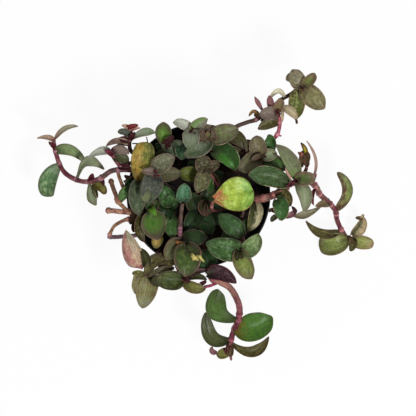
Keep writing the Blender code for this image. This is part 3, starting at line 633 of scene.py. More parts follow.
        blotch=(80, 98, 54), blotches=0.4, streaks=0.5),
    "mid_green_bright": Coat(
        (48, 68, 36), (56, 92, 50), (62, 100, 54), (76, 86, 58), (206, 192, 168), (112, 80, 76),
        rim_width=0.25, gloss=0.8, blotch=(76, 108, 68), blotches=0.25),
    "rim_green": Coat(
        (50, 56, 38), (74, 98, 52), (110, 98, 82), (122, 102, 90), (184, 160, 146), (108, 78, 74),
        rim_width=0.85),
    "bud_brown": Coat(
        (64, 50, 38), (92, 76, 58), (96, 78, 60), (78, 60, 46), (128, 104, 86), (70, 50, 44), streaks=1.0),
    "tan_green": Coat(
        (102, 96, 78), (132, 130, 110), (136, 132, 114), (126, 112, 96), (188, 168, 150), (118, 92, 82),
        blotch=(146, 148, 128), blotches=0.35, streaks=0.5),
    "tan_olive": Coat(
        (96, 88, 64), (126, 124, 92), (128, 122, 96), (122, 106, 86), (190, 168, 144), (116, 90, 80),
        blotch=(144, 144, 108), blotches=0.4, streaks=0.7),
    "tan_pale": Coat(
        (160, 142, 120), (186, 176, 150), (194, 182, 160), (166, 148, 126), (212, 198, 180),
        (150, 126, 110), streaks=0.8, blotches=0.3, blotch=(160, 148, 120)),
    "pale_arch": Coat(
        (186, 182, 164), (204, 204, 188), (202, 200, 184), (192, 184, 168), (222, 218, 206),
        (186, 174, 162)),
    "glossy_olive": Coat(
        (78, 70, 46), (98, 106, 60), (94, 100, 58), (100, 86, 60), (160, 136, 102), (114, 84, 66),
        blotch=(150, 158, 108), blotches=0.4, streaks=0.9, gloss=0.95),
    "tip_green": Coat(
        (104, 96, 60), (158, 166, 104), (190, 172, 138), (150, 128, 100), (188, 166, 140), (126, 96, 82),
        side=(136, 150, 86), side_share=0.5, streaks=0.7),
    "west_tip_pink": Coat(
        (140, 86, 86), (160, 138, 124), (166, 148, 134), (140, 112, 104), (186, 166, 152), (148, 120, 108)),
    "orange_sheath": Coat(
        (150, 92, 50), (176, 122, 74), (160, 108, 70), (140, 92, 60), (190, 146, 106), (130, 84, 60),
        streaks=0.9),
    "yellow_streak": Coat(
        (58, 42, 26), (156, 142, 50), (112, 92, 46), (58, 42, 26), (88, 66, 42), (72, 48, 30), streaks=1.3,
        rim_width=1.1),
}


def leaf_finishes(name):
    """The face and the back of one kind of leaf, made once."""
    face = bpy.data.materials.get("face_" + name)
    if face:
        return face, bpy.data.materials["back_" + name]
    front = {}
    for part, value in vars(COATS[name]).items():
        front[part.replace("_", " ").title()] = tint(*value) if isinstance(value, tuple) else value
    back = front.pop("Back")
    behind = {**front, "Side Share": 0.0, "Blotches": 0.0, "Rim Width": 0.3, "Gloss": 0.45}
    behind.update({title: back for title in ("Base", "Middle", "Tip", "Rim", "Side", "Blotch")})
    face = plant_finish("face_" + name, LEAF_TINT, front, 0.25)
    return face, plant_finish("back_" + name, LEAF_TINT, behind, 0.3)


# Each skin of a stem: its colour, its pale patches, its rings, and how streaky it is.
SKINS = {
    "maroon": ((98, 44, 56), (136, 80, 82), (206, 160, 162), 0.5),
    "mauve": ((112, 76, 82), (138, 104, 102), (186, 128, 148), 0.5),
    "magenta": ((128, 40, 74), (158, 74, 100), (196, 120, 140), 0.5),
    "tan": ((120, 84, 62), (184, 144, 110), (110, 72, 58), 1.3),
    "tan_pink": ((140, 94, 82), (200, 154, 130), (196, 132, 132), 1.2),
    "purple_grey": ((112, 84, 92), (140, 112, 114), (150, 100, 124), 0.6),
    "dark_twig": ((44, 26, 24), (74, 46, 40), (96, 60, 56), 0.7),
    "rosy": ((146, 68, 82), (184, 108, 118), (204, 136, 144), 0.8),
    "pale_rosy": ((138, 86, 78), (192, 144, 128), (182, 116, 110), 1.3),
    "dusty_salmon": ((126, 88, 78), (180, 134, 116), (162, 88, 104), 0.9),
    "grey_twig": ((82, 62, 58), (112, 88, 82), (168, 118, 128), 0.8),
    "dusty_pink": ((102, 58, 56), (154, 106, 98), (186, 126, 126), 0.9),
    "dark_bark": ((52, 34, 28), (104, 74, 58), (140, 88, 78), 1.0),
    "brown_stem": ((78, 62, 54), (104, 82, 74), (170, 112, 130), 0.9),
}


def stem_finish(start, end):
    """The skin of a stem that goes over from one colour to another."""
    name = f"bark_{start}_{end}"
    found = bpy.data.materials.get(name)
    if found:
        return found
    colours = dict(zip(("Skin", "Pale", "Ring", "Late Skin", "Late Pale"), SKINS[start][:3] + SKINS[end][:2]))
    given = {title: tint(*colour) for title, colour in colours.items()}
    return plant_finish(name, STEM_TINT, {**given, "Streaks": SKINS[start][3]}, 0.4)


# ---------------------------------------------------------------- making and placing


def nothing_selected():
    if bpy.context.object and bpy.context.object.mode != "OBJECT":
        bpy.ops.object.mode_set(mode="OBJECT")
    bpy.ops.object.select_all(action="DESELECT")


def make_active(obj):
    nothing_selected()
    obj.select_set(True)
    bpy.context.view_layer.objects.active = obj


def copied(template, name):
    made = template.copy()
    made.data = template.data.copy()
    made.name = name
    bpy.context.collection.objects.link(made)
    return made


def joined(objects, name):
    nothing_selected()
    for obj in objects:
        obj.select_set(True)
    bpy.context.view_layer.objects.active = objects[0]
    if len(objects) > 1:
        bpy.ops.object.join()
    made = bpy.context.object
    made.name = name
    made.data.name = name
    return made


def removed(obj):
    bpy.data.objects.remove(obj, do_unlink=True)


def finished(obj, *finishes):
    """Give an object its own finishes and no others."""
    obj.data.materials.clear()
    for finish in finishes:
        obj.data.materials.append(finish)


def apply_all(obj):
    make_active(obj)
    for modifier in list(obj.modifiers):
        bpy.ops.object.modifier_apply(modifier=modifier.name)


def write_value(mesh, name, values):
    """A number for each point of a mesh, which the finishes read; one number stands for all points."""
    layer = mesh.attributes.get(name) or mesh.attributes.new(name, "FLOAT", "POINT")
    for number, item in enumerate(layer.data):
        item.value = values[number] if isinstance(values, list) else values


def smooth_route(points, spacing):
    """Points along the smooth curve through the route's own points."""
    points = [Vector(p) for p in points]
    padded = [2 * points[0] - points[1]] + points + [2 * points[-1] - points[-2]]
    out = []
    for a, b, c, d in zip(padded, padded[1:], padded[2:], padded[3:]):
        steps = max(1, round((c - b).length / spacing))
        for k in range(steps):
            t = k / steps
            bow = 2 * b + (c - a) * t + (2 * a - 5 * b + 4 * c - d) * t**2 + (3 * b - a - 3 * c + d) * t**3
            out.append(0.5 * bow)
    return out + [points[-1]]


def wall_radius(z):
    """Outer radius of the pot's wall below its rim band."""
    return BASE_RADIUS + (RIM_RADIUS - RIM_STEP - BASE_RADIUS) * z / (POT_HEIGHT - RIM_BAND)


def soil_radius(z):
    return wall_radius(z) - WALL - SOIL_GAP


def soil_height(x, y):
    return SOIL_LEVEL + SOIL_MOUND * (1 - min(math.hypot(x, y) / soil_radius(SOIL_LEVEL), 1.0) ** 2)


def rooted(route):
    """The route with its foot set a little way into the soil."""
    if len(route[0]) == 3:
        return route
    x, y = route[0]
    return [(x, y, soil_height(x, y) - ROOT_DEPTH)] + list(route[1:])


# ---------------------------------------------------------------- leaves


@dataclass
class Leaf:
    """One boat-shaped leaf from its base to its tip, with an optional point on the way."""

    base: tuple
    tip: tuple
    width: float
    coat: str
    roll: float = 0.0
    fold: float = 24.0
    arch: float = 1.5
    via: tuple = None
    widest: float = 0.42
    fullness: float = 0.56
    ruffle: float = 0.02
    sides: tuple = (1.0, 1.0)
    blunt: float = 2.6


def leaf_template():
    """A flat leaf, divided along and across, with its flesh thinning to the edge and to the tip."""
    nothing_selected()
    bpy.ops.mesh.primitive_grid_add(x_subdivisions=LEAF_ROWS, y_subdivisions=LEAF_LANES, size=2)
    made = bpy.context.object
    made.name = "leaf_template"
    mesh = made.data
    flesh = made.vertex_groups.new(name="flesh")
    for vertex in mesh.vertices:
        share = (vertex.co.x + 1) / 2
        eased = 0.5 * share + 0.25 * (1 - math.cos(math.pi * share))
        vertex.co.x = eased
        thinned = (1 - THINS_TO_EDGE * abs(vertex.co.y) ** 3) * (1 - THINS_TO_TIP * eased)
        flesh.add([vertex.index], thinned, "REPLACE")
    for loop, lay in zip(mesh.loops, mesh.uv_layers[0].data):
        spot = mesh.vertices[loop.vertex_index].co
        lay.uv = (spot.x, spot.y / 2 + 0.5)
    write_value(mesh, "seed", 0.0)
    write_value(mesh, "tone", 0.0)
    made.hide_render = True
    return made


def rib_of(leaf):
    """The leaf's midrib as a function of 0..1, which gives its place, its heading and its face direction."""
    base, tip = Vector(leaf.base), Vector(leaf.tip)
    along = (tip - base).normalized()
    face = UP - along * along.z
    face = Matrix.Rotation(math.radians(leaf.roll), 3, along) @ face.normalized()
    middle = Vector(leaf.via) if leaf.via else (base + tip) / 2 + face * leaf.arch
    pull = 2 * middle - (base + tip) / 2

    def at(s):
        point = (1 - s) ** 2 * base + 2 * s * (1 - s) * pull + s**2 * tip
        ahead = (2 * (1 - s) * (pull - base) + 2 * s * (tip - pull)).normalized()
        normal = (face - ahead * face.dot(ahead)).normalized()
        return point, ahead, normal

    return at


def half_width(leaf, s):
    power = math.log(0.5) / math.log(leaf.widest)
    full = leaf.width / 2 * max(math.sin(math.pi * min(s, 1.0) ** power), 0.0) ** leaf.fullness
    neck = NECK * leaf.width / 2 * max(1 - s / NECK_END, 0.0) ** 0.5
    point = leaf.width / 2 * leaf.blunt * max(1 - s, 0.0) ** 0.8
    return max(min(full, point), neck, LEAST_HALF_WIDTH)


def lay_leaf(template, leaf, name, chance):
    """A copy of the template leaf, laid along its own midrib and cupped across it."""
    made = copied(template, name)
    made.hide_render = False
    at = rib_of(leaf)
    twist = chance.uniform(-TWIST, TWIST)
    bend = chance.uniform(-BEND, BEND) * leaf.width
    phase = chance.uniform(0, 2 * math.pi)
    waves = chance.uniform(*WAVES)
    spread = chance.uniform(0, 50)
    for vertex in made.data.vertices:
        s, lane = vertex.co.x, vertex.co.y
        point, ahead, normal = at(s)
        left = normal.cross(ahead)
        turn = Matrix.Rotation(twist * (s - TWIST_CENTRE), 3, ahead)
        left, normal = turn @ left, turn @ normal
        half = half_width(leaf, s) * (leaf.sides[0] if lane > 0 else leaf.sides[1])
        clasp = max(1 - s / CLASP_END, 0.0) ** 2
        fold = leaf.fold + (math.copysign(CLASP_FOLD, leaf.fold) - leaf.fold) * clasp
        start = math.radians(fold) * FOLD_AT_RIB
        gain = math.radians(fold) * FOLD_GAIN
        end = start + gain * abs(lane)
        out = half * (math.sin(end) - math.sin(start)) / gain
        rise = half * (math.cos(start) - math.cos(end)) / gain
        wave = leaf.ruffle * leaf.width * lane**2 * math.sin(2 * math.pi * waves * s + phase + lane)
        lump = LUMPS * leaf.width * noise.noise(Vector((LUMPS_ALONG * s, LUMPS_ACROSS * lane, spread)))
        place = point + left * (math.copysign(out, lane) + bend * math.sin(math.pi * s))
        place += normal * (rise + wave * math.sin(math.pi * min(s * 1.1, 1.0)) + lump)
        vertex.co = place * MM
        for group in vertex.groups:
            group.weight *= min(leaf.width / FLESHY_WIDTH, 1.0)
    write_value(made.data, "seed", chance.random())
    write_value(made.data, "tone", chance.uniform(-1, 1))
    finished(made, *leaf_finishes(leaf.coat))
    return made


def lay_leaves(template, leaves, name, chance):
    """Leaves laid one by one, then given their thickness, with backs of their own, and rounded."""
    made = joined([lay_leaf(template, leaf, name + "_leaf", chance) for leaf in leaves], name + "_leaves")
    solid = made.modifiers.new("flesh", "SOLIDIFY")
    solid.thickness = FLESH * MM
    solid.offset = -1.0
    solid.vertex_group = "flesh"
    solid.thickness_vertex_group = FLESH_LEAST
    solid.material_offset = 1
    solid.use_even_offset = False
    rounded = made.modifiers.new("rounded", "SUBSURF")
    rounded.levels = 1
    rounded.render_levels = 1
    apply_all(made)
    bpy.ops.object.shade_smooth()
    write_value(made.data, "joint", 0.0)
    return made


# ---------------------------------------------------------------- stems and growing tips


@dataclass
class Stem:
    """A round stem; its joints are given in plan and swell a little, with a ring."""

    route: list
    diameter: float
    skin: str
    joints: tuple = ()
    taper: float = TAPER
    swell: float = 0.22
    end: str = None


def nearest(points, distance):
    """The number of the point that is nearest by the given distance."""
    return min(range(len(points)), key=lambda number: distance(points[number]))


def grow_stem(stem, name):
    """A stem as a round-section curve, thicker at its joints, made into a mesh."""
    points = smooth_route(rooted(stem.route), STEM_STEP)
    last = len(points) - 1
    marks = [nearest(points, lambda p: (p.xy - Vector(place)).length) for place in stem.joints]
    nothing_selected()
    bpy.ops.curve.primitive_nurbs_path_add()
    made = bpy.context.object
    made.name = name
    curve = made.data
    curve.splines.clear()
    spline = curve.splines.new("POLY")
    spline.points.add(last)
    for i, point in enumerate(points):
        bulge = sum(math.exp(-((point - points[m]).length / SWELLING) ** 2) for m in marks)
        lump = STEM_LUMPS * noise.noise(point * STEM_LUMP_DENSITY)
        spline.points[i].co = (*(point * MM), 1.0)
        spline.points[i].radius = (1 + (stem.taper - 1) * i / last) * (1 + stem.swell * bulge + lump)
    curve.dimensions = "3D"
    curve.bevel_depth = stem.diameter / 2 * MM
    curve.bevel_resolution = STEM_ROUNDNESS
    curve.use_fill_caps = True
    make_active(made)
    bpy.ops.object.convert(target="MESH")
    made = bpy.context.object
    rings, gone = [], []
    for vertex in made.data.vertices:
        spot = vertex.co / MM
        gone.append(nearest(points, lambda p: (p - spot).length) / last)
        near = 0.0
        for m in marks:
            ahead = (points[min(m + 1, last)] - points[max(m - 1, 0)]).normalized()
            gap = spot - points[m]
            if gap.length < stem.diameter * RING_REACH:
                near = max(near, math.exp(-(gap.dot(ahead) / RING) ** 2))
        rings.append(near)
    write_value(made.data, "joint", rings)
    write_value(made.data, "seed", 0.0)
    write_value(made.data, "tone", gone)
    finished(made, stem_finish(stem.skin, stem.end or stem.skin))
    bpy.ops.object.shade_smooth()
    return made


def heart_leaves(spot, heading, size, coat):
    """Small folded leaves that stand crosswise round the growing tip."""
    made = []
    foot = Vector(spot)
    for turn, reach, wide, lift in HEART_LEAVES:
        angle = math.radians(heading + turn)
        out = Vector((math.cos(angle), math.sin(angle), 0)) * size * reach
        tip = foot + out + UP * size * lift
        via = foot + out * HEART_BOW[0] + UP * size * lift * HEART_BOW[1]
        base = foot - UP * HEART_FOOT
        made.append(Leaf(tuple(base), tuple(tip), size * wide, coat, fold=50, via=tuple(via), widest=0.4))
    return made


# ---------------------------------------------------------------- the planting plan

STEMS = {
    "stem_west_runner": Stem([
        (-30, 14), (-36, 15.5, 69), (-43, 16, 73), (-50, 16, 74), (-55, 15, 72), (-62, 10.5, 65),
        (-70, 8.7, 56), (-77, 10, 48), (-84, 14, 42), (-88, 20, 39), (-90.5, 28, 39), (-91.5, 33, 40),
    ], 3.5, "grey_twig",
        [(-91, 28.5), (-88, 20), (-77, 10), (-69.5, 8.7), (-60, 11.5), (-61.5, 11), (-50, 16)], end="maroon"),
    "stem_south_runner": Stem([
        (2, -30), (6, -42, 71), (8, -51, 75), (14, -54, 75.5), (20, -58, 72), (24.5, -66, 64),
        (25.8, -72, 56), (25, -78, 48), (22.8, -84, 41), (20.5, -91, 35), (19, -97, 32),
    ], 4.7, "dusty_salmon", [(10, -52), (26, -74), (25, -78), (22.5, -84), (20.5, -91)], end="maroon",
        taper=0.8),
    "stem_northeast_runner": Stem([
        (14, 24), (19, 34, 69), (22.5, 42, 73), (30, 45.5, 74), (37, 47.8, 73), (45, 54, 70),
        (51, 59.5, 67), (57, 63, 64), (62, 66.5, 62),
    ], 2.9, "grey_twig", [(22.5, 42), (36, 47.8), (51, 59.5), (61, 66)], end="dark_twig"),
    "stem_east_branch": Stem([
        (24, -7), (30, -4.5, 69), (37, -2.5, 73.5), (45, -0.5, 76), (51, 2.5, 79), (55, 5.5, 82),
    ], 5.0, "pale_rosy", [(37, -2.5), (40, -1.5), (47, 0.3), (55, 5.5)]),
    "stem_east_runner": Stem([
        (58, 7.4, 84), (61.4, 8.2, 83.2), (66, 9, 79), (71, 7.5, 72.5), (74, 5, 65), (76, 1, 57),
        (80, -2.5, 48), (84, -6, 39), (87, -10, 30), (88, -15, 22), (91, -21.5, 14), (94, -26, 10),
    ], 3.8, "dusty_pink", [(66, 9), (72.5, 7), (76, 1.5), (83, -5), (87.2, -11), (91, -21.5)], end="maroon",
        swell=0.3),
    "stem_old_rim": Stem([
        (-32, -12), (-37, -12, 69), (-43, -11, 74), (-47, -7, 74.5), (-50, -4, 73.5), (-51.5, 0, 71),
        (-53.5, 5, 66), (-55, 9.5, 60),
    ], 2.6, "dark_bark", [(-51, -2.5), (-50, -4.5), (-45, -9), (-55, 9)], taper=1.1, swell=0.4, end="tan"),
    "stem_old_short": Stem([
        (-36, 2), (-42, 2.8, 71.2), (-46, 4, 72), (-49, 10, 70.5), (-51, 17, 69),
    ], 2.3, "dark_bark", [(-46.5, 5), (-44, 3)], taper=1.0, swell=0.35, end="tan"),
    "stem_old_salmon": Stem([
        (-35, -5), (-41, -9.5, 70), (-46, -10.3, 70.5), (-52, -9.7, 67), (-57, -9.3, 61),
    ], 3.2, "dark_bark", [(-44, -11), (-42, -10.5), (-56, -9.6)], taper=1.05, swell=0.3, end="tan_pink"),
    "stem_old_hook": Stem([
        (-35, -17), (-40, -15.5, 71), (-45, -15, 72), (-52, -18.5, 68), (-54.5, -22, 64), (-56, -25, 61),
    ], 2.3, "dusty_pink", [(-44, -14.5), (-43, -13.8), (-55.5, -24)], taper=0.95, swell=0.4, end="tan"),
    "stem_mauve": Stem([
        (-30, -21), (-34, -23, 69.5), (-40, -25, 72), (-46, -25.5, 68), (-52, -26, 60), (-56.4, -26, 53),
    ], 2.8, "purple_grey", [(-55.4, -26)], taper=0.95),
    "stem_southwest": Stem([
        (-20, -28), (-23, -32.5, 68), (-26.5, -37.5, 72), (-31, -43.5, 73), (-33, -47, 72), (-33, -52, 70),
        (-33.2, -54, 69.4),
    ], 2.8, "dark_twig", [(-32.5, -46), (-33, -52)], end="mauve"),
    "stem_pink_northeast": Stem([
        (27, 26), (33, 29, 71), (42, 32.5, 76), (46.5, 35, 78), (49, 38, 78.5), (50.2, 41.5, 78.5),
        (50.5, 46, 78), (50, 49, 77.5), (48.8, 51.5, 77.3),
    ], 2.7, "rosy", [(49, 37.3), (50.5, 45)], swell=0.35),
    "stem_teal_leaf": Stem([
        (-11, -33), (-11.5, -28, 70), (-11.5, -22, 77), (-11, -14, 81), (-10.2, -6, 84), (-10, -4.8, 84.5),
    ], 3.1, "brown_stem", [(-11.5, -24), (-11.5, -22), (-11.4, -20)], swell=0.14, taper=0.8),
    "stem_lime_leaf": Stem([
        (18, -8), (15, -8.7, 68), (10.5, -9.6, 76), (8.4, -8.2, 84), (8.6, -5.2, 88), (9.4, -4.0, 90),
    ], 2.2, "dusty_pink", [(9, -6.8)]),
    "stem_southeast": Stem([
        (22, -18), (25.5, -21, 72), (26.8, -25, 80), (27.2, -28.6, 83), (27.8, -31, 85),
    ], 3.4, "dark_twig", [(27, -27)]),
}

# The leaves that stand by themselves, each with the stem that carries it.
SINGLE_LEAVES = {
    # In and round the pot.
    "leaf_pink_back": ("stem_southwest", [
        Leaf((-34.8, -46.6, 72.6), (-45.2, -21.2, 82), 16, "rose", roll=-12, fold=-26,
            via=(-40.4, -37.4, 79.5), widest=0.36, fullness=0.5, sides=(1.08, 0.9)),
        Leaf((-33.2, -44.6, 73), (-36, -33, 77.6), 7, "deep_olive", via=(-32.6, -39, 77.6), fold=40),
    ]),
    "leaf_pale_edged": ("stem_east_branch", [
        Leaf((35, -3), (30.8, -22.1, 79), 11.5, "cream", roll=-14, sides=(0.75, 1.1), fold=30,
            via=(36, -13, 81), fullness=0.6),
    ]),
    "leaf_plum": ("stem_south_runner", [
        Leaf((5.2, -49.4, 77), (23.8, -54.6, 82), 11.2, "plum", roll=-8, fold=30, via=(14, -48.8, 83),
            fullness=0.66),
    ]),
    "leaf_teal": ("stem_teal_leaf", [
        Leaf((-9.6, -3.9, 85.4), (-8.2, 7.5, 90), 10.4, "teal", fold=26, fullness=0.46, ruffle=0.04,
            widest=0.44, blunt=3),
    ]),
    "leaf_lime": ("stem_lime_leaf", [
        Leaf((9.6, -2.2, 91), (34, 3, 95), 22.5, "lime", fold=14, widest=0.62, fullness=0.5,
            via=(21.7, 0.2, 96.6), blunt=9),
    ]),
    # On the west runner.
    "leaf_west_arched": ("stem_west_runner", [
        Leaf((-90.5, 28.5), (-71.4, 20.6, 43), 8.4, "olive_sage", roll=16, via=(-80, 28.8, 46),
            sides=(1.0, 0.9), widest=0.36),
    ]),
    "leaf_west_hanging": ("stem_west_runner", [
        Leaf((-88, 20), (-94.6, -0.9, 29), 13.4, "west_hanging", roll=8, fold=28, via=(-95, 9.6, 36),
            fullness=0.4, widest=0.55, blunt=5),
    ]),
    "leaf_west_folded": ("stem_west_runner", [
        Leaf((-77, 10), (-59.2, 16.2, 61), 8.6, "pale_sage", roll=-16, via=(-69.6, 22, 58), fullness=0.6,
            sides=(0.8, 0.95), widest=0.62),
        Leaf((-67, 7.5, 54), (-66.2, 13.8, 62), 5.4, "maroon_cup", fold=40, fullness=0.4,
            via=(-67.2, 10.6, 60)),
        Leaf((-67, 7, 57), (-59, 0.6, 58), 8, "wilted", fold=46, ruffle=0.1, via=(-61, 5.6, 61)),
        Leaf((-66, 7, 56), (-63.6, -1.8, 57), 4.6, "deep_olive", fold=50, ruffle=0.1),
        Leaf((-60.4, 10.5, 63), (-59.4, 6.2, 64), 3.4, "maroon_dark", fold=50),
    ]),
    "leaf_west_pale": ("stem_west_runner", [
        Leaf((-68, 9), (-64.2, -6.2, 54), 7.4, "pale_sage", widest=0.68, fullness=0.6, via=(-67.6, 1, 57),
            fold=34),
    ]),
    # On the south runner.
    "leaf_south_crescent": ("stem_south_runner", [
        Leaf((24.5, -78), (12.6, -58.6, 66), 14.4, "crescent_green", roll=-12, via=(11.6, -72.2, 61),
            fullness=0.3, fold=20, widest=0.66, blunt=9),
    ]),
    "leaf_south_broad": ("stem_south_runner", [
        Leaf((23, -83.5), (46.6, -76.4, 43), 19, "broad_green", fold=20, via=(34.5, -83.6, 44),
            fullness=0.42, widest=0.5, sides=(1.06, 0.98), blunt=3.4),
    ]),
    "leaf_south_boomerang": ("stem_south_runner", [
        Leaf((20.5, -91), (4.6, -73.6, 44), 10.8, "olive_pale_tip", roll=10, via=(7.4, -89.4, 42),
            fullness=0.42, widest=0.55, blunt=4.4),
    ]),
    "leaf_south_dark": ("stem_south_runner", [
        Leaf((20, -93), (44.6, -89.2, 31), 8, "dark_olive", roll=-10, via=(34, -99, 34), widest=0.58),
    ]),
    # On the east runner.
    "leaf_east_upright": ("stem_east_runner", [
        Leaf((86.8, -9), (87.4, 14.8, 46), 8, "upright_green", roll=18, via=(93.6, 3.4, 43), fullness=0.46,
            blunt=5),
    ]),
    "leaf_east_narrow": ("stem_east_runner", [
        Leaf((80, -4), (58.8, -12.8, 56), 6, "tan_green", roll=10, via=(69.8, -11.2, 56), widest=0.74,
            fullness=0.6),
        Leaf((82, -4.6), (73.4, -6.6, 57), 6.6, "cup_tan", fold=30, widest=0.35, fullness=0.6),
    ]),
    "leaf_east_dark": ("stem_east_runner", [
        Leaf((91.5, -22), (68.4, -15.8, 26), 6.8, "dark_olive", roll=14, via=(77.5, -24, 20), fullness=0.6),
    ]),
    "leaf_east_floor": ("stem_east_runner", [
        Leaf((95, -27.4, 12), (76.6, -31.4, 8), 15.2, "floor_green", fold=18, via=(86, -30.4, 13.5),
            fullness=0.36, widest=0.5, blunt=5),
    ]),
}


@dataclass
class Shoot:
    """A short stem with its leaves and twigs; each heart is a place, a heading, a size and a coat."""

    stem: Stem
    leaves: list
    hearts: tuple = ()
    twigs: tuple = ()


